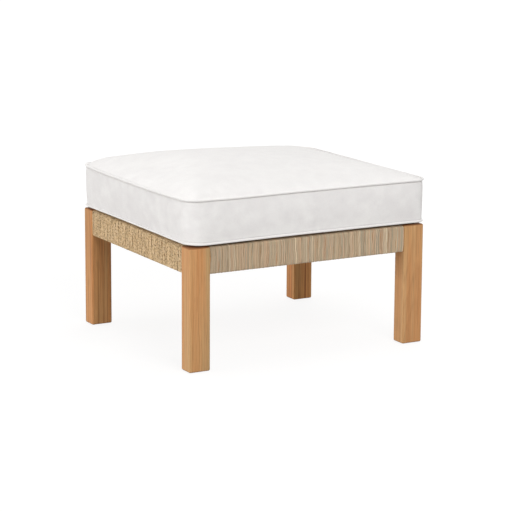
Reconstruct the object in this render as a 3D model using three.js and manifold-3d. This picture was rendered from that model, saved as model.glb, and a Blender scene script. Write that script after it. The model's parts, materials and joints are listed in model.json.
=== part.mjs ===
// Outdoor ottoman footstool: a teak frame with four square legs, cord-wrapped rails
// and a slatted deck, under a thick box cushion with welted edges and a zip at the back.
// Millimetres, +Z up. The origin is on the floor under the middle of the stool,
// +X runs along its long side and the front is at -Y.
import * as THREE from "three";
import { mergeVertices } from "three/addons/utils/BufferGeometryUtils.js";
import Module from "manifold-3d";

// Driving sizes of the frame
const FRAME_WIDTH = 700;
const FRAME_DEPTH = 623;
const SEAT_HEIGHT = 323.5;
const LEG_WIDTH = 60;
const LEG_DEPTH = 47;
const LEG_EDGE_RADIUS = 5;

// Clearances
const FIT_GAP = 0.3;
const FILLING_GAP = 0.5;
const OVERRUN = 2;

// Glides under the legs
const GLIDE_RADIUS = 13;
const GLIDE_THICKNESS = 4;
const GLIDE_BEVEL = 1;
const GLIDE_PROUD = 1.5;
const GLIDE_STEM_RADIUS = 3;
const GLIDE_STEM_LENGTH = 16;

// Rails and the cord wound round them
const RAIL_SETBACK = 2;
const RAIL_THICKNESS = 24;
const RAIL_HEIGHT = 66;
const RAIL_CHAMFER = 3;
const WRAP_DROP = 0.5;
const RIBBON_THICKNESS = 2.4;
const RIBBON_PITCH = 24.2;
const RIBBON_GAP = 0.8;
const RIBBON_BEVEL = 1.1;
const MOST_TURNS = 24;
const TENON_THICKNESS = 10;
const RAIL_TENON_HEIGHT = 46;
const TENON_WEB = 5;

// Deck: two bearers and the slats screwed down on them
const BEARER_WIDTH = 24;
const BEARER_HEIGHT = 38;
const BEARER_TENON_HEIGHT = 24;
const SLAT_THICKNESS = 18;
const SLAT_WIDTH = 64;
const SLAT_SPACING = 12;
const SLAT_EDGE_GAP = 1.5;
const SLAT_EDGE_RADIUS = 2.5;
const SCREW_SHANK_RADIUS = 2;
const SCREW_HEAD_RADIUS = 4.2;
const SCREW_HEAD_HEIGHT = 2.6;
const SCREW_SOCKET_RADIUS = 1.6;
const SCREW_SOCKET_DEPTH = 1.5;
const SCREW_POINT = 4;
const SCREW_BITE = 20;
const SCREW_SINK = 0.6;

// Cushion
const CUSHION_SEAT_GAP = 0.3;
const CUSHION_OVERHANG_X = 3.3;
const CUSHION_OVERHANG_Y = 7.5;
const TOP_FLARE = 6.3;
const LOWER_CORNER_RADIUS = 32;
const UPPER_CORNER_RADIUS = 42;
const LOWER_SEAM_RISE = 10.4;
const BOXING_HEIGHT = 107;
const BOXING_BULGE = 8.5;
const BULGE_POWER = 0.25;
const UNDERSIDE_ROLL = 26;
const CROWN_HEIGHT = 47;
const EDGE_PUFF = 11;
const DRAW_IN_LONG = 5;
const DRAW_IN_SHORT = 2;
const WELT_RADIUS = 3.2;
const WELT_BESIDE_SEAM = 1.5;
const COVER_WALL = 1.5;
const FOAM_HEIGHT = 104;
const FOAM_CORNER_RADIUS = 26;
const FIBRE_BELOW = 10;
const FIBRE_BESIDE = 12;
const CROWN_POWER = 2;
const PUFF_POWER = 26;
const CROWN_ROUNDING = 0.5;
const ROUNDEST_SHARE = 0.98;
const CORNER_STEPS = 5;
const LONG_STEPS = 8;
const SHORT_STEPS = 7;
const BOXING_SHARES = [0.08, 0.5, 0.92];
const CROWN_RING_SHARES = [0.96, 0.85, 0.64, 0.34];
const FIBRE_BOXING_SHARES = [0.5];
const WELT_SIDES = 6;

// Zip in the back boxing
const ZIP_LENGTH = 420;
const ZIP_TAPE_WIDTH = 12;
const ZIP_TAPE_THICKNESS = 0.8;
const ZIP_RECESS = 3.5;
const ZIP_TEETH_WIDTH = 4.5;
const ZIP_TEETH_HEIGHT = 1.4;
const ZIP_STOP_WIDTH = 6.5;
const ZIP_STOP_HEIGHT = 2;
const ZIP_STOP_LENGTH = 4;
const ZIP_END_MARGIN = 5;
const SLIDER_LENGTH = 11;
const SLIDER_PLATE = 0.9;
const SLIDER_FLANGE = 1;
const SLIDER_STOP_GAP = 0.3;
const LUG_LENGTH = 1.2;
const LUG_WIDTH = 3;
const PULL_PIN_RADIUS = 0.6;
const PULL_EYE_RADIUS = 1.7;
const PULL_EYE_WIDTH = 3;
const PULL_WIDTH = 6;
const PULL_NECK = 2.6;
const PULL_LENGTH = 22;
const PULL_THICKNESS = 1.2;

// Counts of the round faces
const ROUND_STEPS = 12;
const EDGE_STEPS = 3;
const SMALL_STEPS = 8;
const GAP_POINTS = 6;

// Colours
const TEAK = { color: 0xbe8f64, roughness: 0.6, metalness: 0 };
const HIDDEN_TEAK = { color: 0xa97b52, roughness: 0.7, metalness: 0 };
const SMOOTH_CORD = { color: 0xb19a80, roughness: 0.7, metalness: 0 };
const TWISTED_CORD = { color: 0xc4a780, roughness: 0.8, metalness: 0 };
const FABRIC = { color: 0xf1efed, roughness: 0.9, metalness: 0 };
const FIBRE = { color: 0xf7f7f5, roughness: 1, metalness: 0 };
const FOAM = { color: 0xefe6c8, roughness: 1, metalness: 0 };
const GLIDE_PLASTIC = { color: 0x3a3835, roughness: 0.5, metalness: 0 };
const STEEL = { color: 0xb9bbbd, roughness: 0.35, metalness: 1 };
const ZIP_PLASTIC = { color: 0xe9e7e4, roughness: 0.6, metalness: 0 };

const wasm = await Module();
wasm.setup();

// Turns a closed geometry into a solid that can be cut and joined.
function solid(geometry) {
  const bare = geometry.clone();
  bare.deleteAttribute("normal");
  bare.deleteAttribute("uv");
  const merged = mergeVertices(bare);
  return new wasm.Manifold(
    new wasm.Mesh({
      numProp: 3,
      vertProperties: merged.attributes.position.array,
      triVerts: new Uint32Array(merged.index.array),
    }),
  );
}

// Turns a solid back into a geometry.
function geometryOf(body) {
  const mesh = body.getMesh();
  const geometry = new THREE.BufferGeometry();
  geometry.setAttribute("position", new THREE.BufferAttribute(mesh.vertProperties, mesh.numProp));
  geometry.setIndex(new THREE.BufferAttribute(mesh.triVerts, 1));
  geometry.computeVertexNormals();
  return geometry;
}

// A box from its lowest to its highest corner.
function block(low, high) {
  const size = high.map((value, i) => value - low[i]);
  const middle = high.map((value, i) => (value + low[i]) / 2);
  return new THREE.BoxGeometry(...size).translate(...middle);
}

// A turned piece: profile points are [radius, height], from the foot on the axis to the top on it.
function turned(profile, steps) {
  const points = profile.map(([radius, height]) => new THREE.Vector2(radius, height));
  return new THREE.LatheGeometry(points, steps).rotateX(Math.PI / 2);
}

// A rectangle with round corners, centred on the origin.
function roundedRectangle(width, height, radius) {
  const x = width / 2 - radius;
  const y = height / 2 - radius;
  const shape = new THREE.Shape();
  shape.absarc(x, y, radius, 0, Math.PI / 2);
  shape.absarc(-x, y, radius, Math.PI / 2, Math.PI);
  shape.absarc(-x, -y, radius, Math.PI, 1.5 * Math.PI);
  shape.absarc(x, -y, radius, 1.5 * Math.PI, 2 * Math.PI);
  shape.closePath();
  return shape;
}

// An upright prism of that rectangle, standing on height 0.
function roundedPost(width, depth, radius, height, steps) {
  const shape = roundedRectangle(width, depth, radius);
  return new THREE.ExtrudeGeometry(shape, { depth: height, bevelEnabled: false, curveSegments: steps });
}

// A closed surface through rings of points, with flat or pointed ends.
function skin(rings, foot, top) {
  const positions = [];
  const faces = [];
  const count = rings[0].length;
  rings.forEach((ring) => ring.forEach((point) => positions.push(...point)));
  for (let r = 0; r + 1 < rings.length; r++) {
    for (let i = 0; i < count; i++) {
      const next = (i + 1) % count;
      const a = r * count + i;
      const b = r * count + next;
      const c = a + count;
      const d = b + count;
      faces.push(a, b, d, a, d, c);
    }
  }
  const last = (rings.length - 1) * count;
  const footIndex = positions.length / 3;
  positions.push(...foot);
  positions.push(...top);
  for (let i = 0; i < count; i++) {
    const next = (i + 1) % count;
    faces.push(next, i, footIndex);
    faces.push(last + i, last + next, footIndex + 1);
  }
  const geometry = new THREE.BufferGeometry();
  geometry.setAttribute("position", new THREE.Float32BufferAttribute(positions, 3));
  geometry.setIndex(faces);
  geometry.computeVertexNormals();
  return geometry;
}

// A tube of even section round a closed line of points: section points are [outward, up].
function closedTube(line, section) {
  const positions = [];
  const faces = [];
  const count = section.length;
  line.forEach(({ x, y, z, outX, outY }) => {
    section.forEach(([out, up]) => positions.push(x + out * outX, y + out * outY, z + up));
  });
  for (let k = 0; k < line.length; k++) {
    const here = k * count;
    const there = ((k + 1) % line.length) * count;
    for (let i = 0; i < count; i++) {
      const next = (i + 1) % count;
      faces.push(here + i, there + next, here + next, here + i, there + i, there + next);
    }
  }
  const geometry = new THREE.BufferGeometry();
  geometry.setAttribute("position", new THREE.Float32BufferAttribute(positions, 3));
  geometry.setIndex(faces);
  geometry.computeVertexNormals();
  return geometry;
}

// Places that follow from the driving sizes
const legX = FRAME_WIDTH / 2 - LEG_WIDTH / 2;
const legY = FRAME_DEPTH / 2 - LEG_DEPTH / 2;
const legInnerX = FRAME_WIDTH / 2 - LEG_WIDTH;
const legInnerY = FRAME_DEPTH / 2 - LEG_DEPTH;
const legHeight = SEAT_HEIGHT - GLIDE_PROUD;

const wrapBuild = FIT_GAP + RIBBON_THICKNESS;
const wrapHalfThickness = RAIL_THICKNESS / 2 + wrapBuild;
const wrapHalfHeight = RAIL_HEIGHT / 2 + wrapBuild;
const railZ = SEAT_HEIGHT - WRAP_DROP - wrapHalfHeight;
const longRailY = FRAME_DEPTH / 2 - RAIL_SETBACK - wrapHalfThickness;
const sideRailX = FRAME_WIDTH / 2 - RAIL_SETBACK - wrapHalfThickness;
const longTenonLength = sideRailX - TENON_THICKNESS / 2 - TENON_WEB - legInnerX;
const sideTenonLength = longRailY - TENON_THICKNESS / 2 - TENON_WEB - legInnerY;

const bearerX = sideRailX - wrapHalfThickness - FIT_GAP - BEARER_WIDTH / 2;
const bearerTop = SEAT_HEIGHT - SLAT_THICKNESS;
const slatHalfLength = sideRailX - wrapHalfThickness - FIT_GAP;
const deckDepth = 2 * (legInnerY - SLAT_EDGE_GAP);
const slatCount = Math.floor((deckDepth + SLAT_SPACING) / (SLAT_WIDTH + SLAT_SPACING));
const slatPitch = (deckDepth - SLAT_WIDTH) / (slatCount - 1);

const seamBaseX = FRAME_WIDTH / 2 + CUSHION_OVERHANG_X - 2 * WELT_RADIUS;
const seamBaseY = FRAME_DEPTH / 2 + CUSHION_OVERHANG_Y - 2 * WELT_RADIUS;
const cushionBase = SEAT_HEIGHT + CUSHION_SEAT_GAP;
const lowerSeamZ = cushionBase + LOWER_SEAM_RISE;
const upperSeamZ = lowerSeamZ + BOXING_HEIGHT;
const zipZ = (lowerSeamZ + upperSeamZ) / 2;
const sliderX = ZIP_LENGTH / 2 - ZIP_END_MARGIN - ZIP_STOP_LENGTH - SLIDER_STOP_GAP - SLIDER_LENGTH / 2;
const boxingStraightX = seamBaseX + TOP_FLARE / 2 - (LOWER_CORNER_RADIUS + UPPER_CORNER_RADIUS) / 2;
const drawInAtSlider = DRAW_IN_LONG * (1 - (sliderX / boxingStraightX) ** 2);
const zipTapeFace = seamBaseY + BOXING_BULGE - drawInAtSlider - ZIP_RECESS;

// One leg, with its mortises on the two inner faces and the glide's seat in its foot.
// sideX and sideY are 1 or -1 and say which corner it stands in.
function legGeometry(sideX, sideY) {
  let leg = solid(roundedPost(LEG_WIDTH, LEG_DEPTH, LEG_EDGE_RADIUS, legHeight, EDGE_STEPS));
  const half = TENON_THICKNESS / 2 + FIT_GAP;
  const railBottom = railZ - RAIL_TENON_HEIGHT / 2 - FIT_GAP - GLIDE_PROUD;
  const railTop = railZ + RAIL_TENON_HEIGHT / 2 + FIT_GAP - GLIDE_PROUD;
  const bearerMiddle = bearerTop - BEARER_HEIGHT / 2 - GLIDE_PROUD;
  const bearerHalf = BEARER_TENON_HEIGHT / 2 + FIT_GAP;
  const mortises = [
    {
      x: [-LEG_WIDTH / 2 - OVERRUN, longTenonLength + FIT_GAP - LEG_WIDTH / 2],
      y: [longRailY - legY - half, longRailY - legY + half],
      z: [railBottom, railTop],
    },
    {
      x: [sideRailX - legX - half, sideRailX - legX + half],
      y: [-LEG_DEPTH / 2 - OVERRUN, sideTenonLength + FIT_GAP - LEG_DEPTH / 2],
      z: [railBottom, railTop],
    },
    {
      x: [bearerX - legX - half, bearerX - legX + half],
      y: [-LEG_DEPTH / 2 - OVERRUN, sideTenonLength + FIT_GAP - LEG_DEPTH / 2],
      z: [bearerMiddle - bearerHalf, bearerMiddle + bearerHalf],
    },
  ];
  for (const { x, y, z } of mortises) {
    const spanX = x.map((value) => value * sideX).sort((a, b) => a - b);
    const spanY = y.map((value) => value * sideY).sort((a, b) => a - b);
    leg = leg.subtract(solid(block([spanX[0], spanY[0], z[0]], [spanX[1], spanY[1], z[1]])));
  }
  return geometryOf(leg.subtract(solid(glideSeat())));
}

// The space that a glide's disc and stem take in the foot of a leg.
function glideSeat() {
  const disc = GLIDE_THICKNESS - GLIDE_PROUD + FIT_GAP;
  const stem = GLIDE_THICKNESS - GLIDE_PROUD + GLIDE_STEM_LENGTH + FIT_GAP;
  const profile = [
    [0, -OVERRUN],
    [GLIDE_RADIUS + FIT_GAP, -OVERRUN],
    [GLIDE_RADIUS + FIT_GAP, disc],
    [GLIDE_STEM_RADIUS + FIT_GAP, disc],
    [GLIDE_STEM_RADIUS + FIT_GAP, stem],
    [0, stem],
  ];
  return turned(profile, ROUND_STEPS);
}

// A glide: a bevelled disc with the stem that is pressed into the leg.
function glideGeometry() {
  const profile = [
    [0, 0],
    [GLIDE_RADIUS - GLIDE_BEVEL, 0],
    [GLIDE_RADIUS, GLIDE_BEVEL],
    [GLIDE_RADIUS, GLIDE_THICKNESS],
    [GLIDE_STEM_RADIUS, GLIDE_THICKNESS],
    [GLIDE_STEM_RADIUS, GLIDE_THICKNESS + GLIDE_STEM_LENGTH],
    [0, GLIDE_THICKNESS + GLIDE_STEM_LENGTH],
  ];
  return turned(profile, ROUND_STEPS);
}

// The eight corners of a rail's section, [across, up], pushed out by a distance.
function railSection(distance) {
  const across = RAIL_THICKNESS / 2 + distance;
  const up = RAIL_HEIGHT / 2 + distance;
  const cut = RAIL_CHAMFER + distance * (2 - Math.SQRT2);
  return [
    [across - cut, -up],
    [-across + cut, -up],
    [-across, -up + cut],
    [-across, up - cut],
    [-across + cut, up],
    [across - cut, up],
    [across, up - cut],
    [across, -up + cut],
  ];
}

// A rail core along X, with a tenon on each end.
function railGeometry(length, tenonLength) {
  const half = length / 2;
  const rings = [half, -half].map((x) => railSection(0).map(([across, up]) => [x, across, up]));
  const core = solid(skin(rings, [half, 0, 0], [-half, 0, 0]));
  const reach = half + tenonLength;
  const tenons = block(
    [-reach, -TENON_THICKNESS / 2, -RAIL_TENON_HEIGHT / 2],
    [reach, TENON_THICKNESS / 2, RAIL_TENON_HEIGHT / 2],
  );
  return geometryOf(core.add(solid(tenons)));
}

// The stations of a winding along X: the cord goes straight up the outer face
// and steps on by one pitch where it comes down the inner face.
function windingStations(length, turns) {
  const pitch = length / turns;
  const inner = railSection(FIT_GAP);
  const outer = railSection(wrapBuild);
  const stations = [];
  for (let turn = 0; turn < turns; turn++) {
    inner.forEach((corner, i) => {
      const lastCorner = i === inner.length - 1;
      if (lastCorner && turn === turns - 1) return;
      const step = lastCorner ? 1 : 0;
      const x = (turn + step + 0.5) * pitch - length / 2;
      stations.push({ x, inner: corner, outer: outer[i] });
    });
  }
  return stations;
}

// One unbroken winding of flat cord round a rail along X.
function windingGeometry(length, turns) {
  const innerHalf = (length / turns - RIBBON_GAP) / 2;
  const outerHalf = innerHalf - RIBBON_BEVEL;
  const rings = windingStations(length, turns).map(({ x, inner, outer }) => [
    [x - innerHalf, ...inner],
    [x - outerHalf, ...outer],
    [x + outerHalf, ...outer],
    [x + innerHalf, ...inner],
  ]);
  const middle = (ring) => [0, 1, 2].map((k) => ring.reduce((sum, point) => sum + point[k], 0) / ring.length);
  return skin(rings, middle(rings[0]), middle(rings[rings.length - 1]));
}

// The least distance from points on one turn's edge to the edges of the turns beside it.
function leastWindingGap(length, turns) {
  const stations = windingStations(length, turns);
  const innerHalf = (length / turns - RIBBON_GAP) / 2;
  const perTurn = railSection(0).length;
  const edge = (sign) => stations.map(({ x, inner }) => new THREE.Vector3(x + sign * innerHalf, ...inner));
  const right = edge(1);
  const left = edge(-1);
  const nearest = new THREE.Vector3();
  let least = Infinity;
  for (let i = 0; i + 1 < right.length; i++) {
    for (let k = 0; k < GAP_POINTS; k++) {
      const point = right[i].clone().lerp(right[i + 1], k / GAP_POINTS);
      const from = i + perTurn / 2;
      const to = Math.min(i + 2 * perTurn, left.length - 1);
      for (let j = from; j < to; j++) {
        new THREE.Line3(left[j], left[j + 1]).closestPointToPoint(point, true, nearest);
        least = Math.min(least, nearest.distanceTo(point));
      }
    }
  }
  return least;
}

// A deck bearer along Y, with a stub tenon on each end and the slat screws' pilot holes.
function bearerGeometry() {
  const bottom = -BEARER_HEIGHT;
  const body = block([-BEARER_WIDTH / 2, -legInnerY, bottom], [BEARER_WIDTH / 2, legInnerY, 0]);
  const reach = legInnerY + sideTenonLength;
  const middle = -BEARER_HEIGHT / 2;
  const tenons = block(
    [-TENON_THICKNESS / 2, -reach, middle - BEARER_TENON_HEIGHT / 2],
    [TENON_THICKNESS / 2, reach, middle + BEARER_TENON_HEIGHT / 2],
  );
  let bearer = solid(body).add(solid(tenons));
  for (let i = 0; i < slatCount; i++) {
    bearer = bearer.subtract(solid(screwHole().translate(0, slatY(i), SLAT_THICKNESS)));
  }
  return geometryOf(bearer);
}

// The height along the deck's depth of one slat's middle line.
function slatY(i) {
  return (i - (slatCount - 1) / 2) * slatPitch;
}

// A slat along X with rounded long edges and a countersunk hole near each end.
function slatGeometry() {
  const shape = roundedRectangle(SLAT_THICKNESS, SLAT_WIDTH, SLAT_EDGE_RADIUS);
  const plank = new THREE.ExtrudeGeometry(shape, {
    depth: 2 * slatHalfLength,
    bevelEnabled: false,
    curveSegments: 2,
  });
  plank.rotateY(Math.PI / 2).translate(-slatHalfLength, 0, -SLAT_THICKNESS / 2);
  let slat = solid(plank);
  for (const side of [-1, 1]) {
    slat = slat.subtract(solid(screwHole().translate(side * bearerX, 0, 0)));
  }
  return geometryOf(slat);
}

// A deck screw below height 0, which is the slat's top face; extra widens it all round.
function screwProfile(extra) {
  const tip = -SLAT_THICKNESS - SCREW_BITE - extra;
  return [
    [0, tip],
    [SCREW_SHANK_RADIUS + extra, tip + SCREW_POINT],
    [SCREW_SHANK_RADIUS + extra, -SCREW_SINK - SCREW_HEAD_HEIGHT - extra],
    [SCREW_HEAD_RADIUS + extra, -SCREW_SINK - extra],
  ];
}

// The hole that a deck screw goes into, open at the slat's top.
function screwHole() {
  const profile = [
    ...screwProfile(FIT_GAP),
    [SCREW_HEAD_RADIUS + FIT_GAP, OVERRUN],
    [0, OVERRUN],
  ];
  return turned(profile, SMALL_STEPS);
}

// The screw itself, with a round socket in its head.
function screwGeometry() {
  const top = -SCREW_SINK;
  const profile = [
    ...screwProfile(0),
    [SCREW_SOCKET_RADIUS, top],
    [SCREW_SOCKET_RADIUS, top - SCREW_SOCKET_DEPTH],
    [0, top - SCREW_SOCKET_DEPTH],
  ];
  return turned(profile, SMALL_STEPS);
}

// The outline of the cushion in plan: round corners, with sides that draw in between them.
function cushionOutline(halfWidth, halfDepth, radius, drawShort, drawLong) {
  const straightX = halfWidth - radius;
  const straightY = halfDepth - radius;
  const points = [];
  for (let corner = 0; corner < 4; corner++) {
    const signX = corner === 0 || corner === 3 ? 1 : -1;
    const signY = corner < 2 ? 1 : -1;
    for (let i = 0; i <= CORNER_STEPS; i++) {
      const angle = ((corner + i / CORNER_STEPS) * Math.PI) / 2;
      const x = signX * straightX + radius * Math.cos(angle);
      const y = signY * straightY + radius * Math.sin(angle);
      points.push([x, y]);
    }
    const alongX = corner % 2 === 0;
    const steps = alongX ? LONG_STEPS : SHORT_STEPS;
    for (let i = 1; i < steps; i++) {
      const t = 1 - (2 * i) / steps;
      const hollow = 1 - t * t;
      if (alongX) points.push([signY * t * straightX, signY * (halfDepth - drawLong * hollow)]);
      else points.push([-signY * (halfWidth - drawShort * hollow), signY * t * straightY]);
    }
  }
  return points;
}

// The closed form of the cushion, drawn in by an even inset:
// flat underneath, bulging at the boxing and crowned on top.
function cushionForm(inset, boxingShares, ringShares) {
  const ring = (halfWidth, halfDepth, radius, height, drawShare = 1) => {
    const [short, long] = [DRAW_IN_SHORT * drawShare, DRAW_IN_LONG * drawShare];
    const outline = cushionOutline(halfWidth, halfDepth, radius, short, long);
    return outline.map(([x, y]) => [x, y, height]);
  };
  const lowX = seamBaseX - inset;
  const lowY = seamBaseY - inset;
  const low = lowerSeamZ + inset;
  const high = upperSeamZ - inset;
  const lowRadius = LOWER_CORNER_RADIUS - inset;
  const rings = [ring(lowX - UNDERSIDE_ROLL, lowY - UNDERSIDE_ROLL, lowRadius, cushionBase + inset)];
  for (const share of [0, ...boxingShares, 1]) {
    const bulge = BOXING_BULGE * (4 * share * (1 - share)) ** BULGE_POWER;
    const radius = lowRadius + (UPPER_CORNER_RADIUS - LOWER_CORNER_RADIUS) * share + bulge;
    rings.push(ring(lowX + TOP_FLARE * share + bulge, lowY + bulge, radius, low + (high - low) * share));
  }
  const [edgeX, edgeY] = [lowX + TOP_FLARE, lowY];
  for (const share of ringShares) {
    const rise = CROWN_HEIGHT * (1 - share ** CROWN_POWER) + EDGE_PUFF * (1 - share ** PUFF_POWER);
    const rounded = (UPPER_CORNER_RADIUS - inset) * share + CROWN_ROUNDING * edgeY * (1 - share);
    const radius = Math.min(rounded, ROUNDEST_SHARE * edgeY * share);
    rings.push(ring(edgeX * share, edgeY * share, radius, high + rise, share));
  }
  return skin(rings, [0, 0, cushionBase + inset], [0, 0, high + CROWN_HEIGHT + EDGE_PUFF]);
}

// The cover: a fabric shell of the cushion's form, open along the zip.
function coverGeometry() {
  const outside = solid(cushionForm(0, BOXING_SHARES, CROWN_RING_SHARES));
  const inside = solid(cushionForm(COVER_WALL, BOXING_SHARES, CROWN_RING_SHARES));
  return geometryOf(outside.subtract(inside).subtract(zipPocket(OVERRUN + BOXING_BULGE)));
}

// The space round the zip's tape, with a reach to each side of its face.
function zipPocket(reach) {
  const halfLength = ZIP_LENGTH / 2 + FIT_GAP;
  const halfHeight = ZIP_TAPE_WIDTH / 2 + FIT_GAP;
  const back = zipTapeFace - ZIP_TAPE_THICKNESS - FILLING_GAP;
  return solid(
    block(
      [-halfLength, back, zipZ - halfHeight],
      [halfLength, zipTapeFace + reach, zipZ + halfHeight],
    ),
  );
}

// The foam core: a plain block with round corners.
const foamHalfX = seamBaseX - FIBRE_BESIDE;
const foamHalfY = seamBaseY - FIBRE_BESIDE;
const foamBase = cushionBase + COVER_WALL + FILLING_GAP + FIBRE_BELOW + FIT_GAP;
function foamGeometry() {
  const block = roundedPost(2 * foamHalfX, 2 * foamHalfY, FOAM_CORNER_RADIUS, FOAM_HEIGHT, EDGE_STEPS);
  return block.translate(0, 0, foamBase);
}

// The fibre wrap: it goes over, under, before and behind the foam and is open at both ends.
function fibreGeometry() {
  const wrap = solid(cushionForm(COVER_WALL + FILLING_GAP, FIBRE_BOXING_SHARES, CROWN_RING_SHARES));
  const tunnel = block(
    [-FRAME_WIDTH, -foamHalfY - FIT_GAP, foamBase - FIT_GAP],
    [FRAME_WIDTH, foamHalfY + FIT_GAP, foamBase + FOAM_HEIGHT + FIT_GAP],
  );
  return geometryOf(wrap.subtract(solid(tunnel)).subtract(zipPocket(OVERRUN + BOXING_BULGE)));
}

// A welt: a covered cord that runs all the way round, just outside a seam.
function weltGeometry(halfWidth, cornerRadius, height) {
  const inside = WELT_RADIUS + FIT_GAP;
  const outline = cushionOutline(
    halfWidth + inside,
    seamBaseY + inside,
    cornerRadius + inside,
    DRAW_IN_SHORT,
    DRAW_IN_LONG,
  );
  const line = outline.map(([x, y], i) => {
    const before = outline[(i + outline.length - 1) % outline.length];
    const after = outline[(i + 1) % outline.length];
    const run = new THREE.Vector2(after[0] - before[0], after[1] - before[1]).normalize();
    return { x, y, z: height, outX: run.y, outY: -run.x };
  });
  const section = [];
  for (let i = 0; i < WELT_SIDES; i++) {
    const angle = ((i + 0.5) * 2 * Math.PI) / WELT_SIDES;
    section.push([WELT_RADIUS * Math.cos(angle), WELT_RADIUS * Math.sin(angle)]);
  }
  return closedTube(line, section);
}

// The zip's tape with its row of teeth and a stop at each end. Its face looks along +Y.
function zipChainGeometry() {
  const half = ZIP_LENGTH / 2;
  const teethHalf = half - ZIP_END_MARGIN;
  const tape = block([-half, -ZIP_TAPE_THICKNESS, -ZIP_TAPE_WIDTH / 2], [half, 0, ZIP_TAPE_WIDTH / 2]);
  const sunk = -ZIP_TAPE_THICKNESS / 2;
  const teeth = block(
    [-teethHalf, sunk, -ZIP_TEETH_WIDTH / 2],
    [teethHalf, ZIP_TEETH_HEIGHT, ZIP_TEETH_WIDTH / 2],
  );
  let chain = solid(tape).add(solid(teeth));
  for (const side of [-1, 1]) {
    const ends = [side * (teethHalf - ZIP_STOP_LENGTH), side * teethHalf].sort((a, b) => a - b);
    const stop = block(
      [ends[0], sunk, -ZIP_STOP_WIDTH / 2],
      [ends[1], ZIP_STOP_HEIGHT, ZIP_STOP_WIDTH / 2],
    );
    chain = chain.add(solid(stop));
  }
  return geometryOf(chain);
}

// Heights of the slider's parts over the tape's face
const sliderInside = ZIP_TEETH_HEIGHT + FIT_GAP;
const sliderFace = sliderInside + SLIDER_PLATE;
const pullPinHeight = sliderFace + PULL_EYE_RADIUS + FIT_GAP;

// The slider: a channel over the teeth, with two lugs that hold the pull's pin.
function zipSliderGeometry() {
  const channelHalf = ZIP_TEETH_WIDTH / 2 + FIT_GAP;
  const half = SLIDER_LENGTH / 2;
  const outerHalf = channelHalf + SLIDER_FLANGE;
  const body = block([-half, FIT_GAP, -outerHalf], [half, sliderFace, outerHalf]);
  const channel = block([-half - OVERRUN, -OVERRUN, -channelHalf], [half + OVERRUN, sliderInside, channelHalf]);
  let slider = solid(body).subtract(solid(channel));
  const lugInside = PULL_EYE_WIDTH / 2 + FIT_GAP;
  for (const side of [-1, 1]) {
    const ends = [side * lugInside, side * (lugInside + LUG_LENGTH)].sort((a, b) => a - b);
    const lug = block(
      [ends[0], sliderFace - SLIDER_PLATE / 2, -LUG_WIDTH / 2],
      [ends[1], pullPinHeight + PULL_PIN_RADIUS, LUG_WIDTH / 2],
    );
    slider = slider.add(solid(lug));
  }
  const pinLength = 2 * lugInside + LUG_LENGTH;
  const pin = new THREE.CylinderGeometry(PULL_PIN_RADIUS, PULL_PIN_RADIUS, pinLength, SMALL_STEPS);
  return geometryOf(slider.add(solid(pin.rotateZ(Math.PI / 2).translate(0, pullPinHeight, 0))));
}

// The pull: an eye round the slider's pin and a flat tongue that hangs from it.
function zipPullGeometry() {
  const eye = new THREE.CylinderGeometry(PULL_EYE_RADIUS, PULL_EYE_RADIUS, PULL_EYE_WIDTH, SMALL_STEPS);
  const hole = PULL_PIN_RADIUS + FIT_GAP;
  const bore = new THREE.CylinderGeometry(hole, hole, PULL_EYE_WIDTH + 2 * OVERRUN, SMALL_STEPS);
  const half = PULL_THICKNESS / 2;
  const neck = block([-PULL_EYE_WIDTH / 2, -half, -PULL_NECK - PULL_EYE_RADIUS], [PULL_EYE_WIDTH / 2, half, 0]);
  const tongue = roundedPost(PULL_WIDTH, PULL_LENGTH, PULL_WIDTH / 4, PULL_THICKNESS, 2);
  tongue.rotateX(Math.PI / 2);
  tongue.translate(0, half, -PULL_EYE_RADIUS - PULL_NECK / 2 - PULL_LENGTH / 2);
  const pull = solid(eye.rotateZ(Math.PI / 2)).add(solid(neck)).add(solid(tongue));
  return geometryOf(pull.subtract(solid(bore.rotateZ(Math.PI / 2))));
}

// Adds a named mesh with a finish of its own to a group.
function put(group, name, geometry, finish, place = [0, 0, 0], turn = 0) {
  const mesh = new THREE.Mesh(geometry, new THREE.MeshStandardMaterial(finish));
  mesh.name = name;
  mesh.position.set(...place);
  mesh.rotation.z = turn;
  group.add(mesh);
}

const footstool = new THREE.Group();
const frame = new THREE.Group();
const cushion = new THREE.Group();
footstool.add(frame, cushion);

// Legs and glides
const corners = [
  ["front_left", -1, -1],
  ["front_right", 1, -1],
  ["back_left", -1, 1],
  ["back_right", 1, 1],
];
for (const [name, sideX, sideY] of corners) {
  const place = [sideX * legX, sideY * legY];
  put(frame, `leg_${name}`, legGeometry(sideX, sideY), TEAK, [...place, GLIDE_PROUD]);
  put(frame, `glide_${name}`, glideGeometry(), GLIDE_PLASTIC, [...place, 0]);
}

// Rails and their windings: each is made along X with its outer face at -Y, then turned
const longLength = 2 * legInnerX;
const sideLength = 2 * legInnerY;
const rails = [
  ["front", longLength, longTenonLength, SMOOTH_CORD, [0, -longRailY, railZ], 0],
  ["back", longLength, longTenonLength, SMOOTH_CORD, [0, longRailY, railZ], Math.PI],
  ["left", sideLength, sideTenonLength, TWISTED_CORD, [-sideRailX, 0, railZ], -Math.PI / 2],
  ["right", sideLength, sideTenonLength, TWISTED_CORD, [sideRailX, 0, railZ], Math.PI / 2],
];
for (const [name, length, tenonLength, cord, place, turn] of rails) {
  const wound = length - 2 * FIT_GAP;
  const turns = Math.min(MOST_TURNS, Math.round(wound / RIBBON_PITCH));
  put(frame, `rail_${name}`, railGeometry(length, tenonLength), HIDDEN_TEAK, place, turn);
  put(frame, `wrap_${name}`, windingGeometry(wound, turns), cord, place, turn);
  console.log(`least gap in the ${name} winding: ${leastWindingGap(wound, turns).toFixed(2)} mm`);
}

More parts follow.
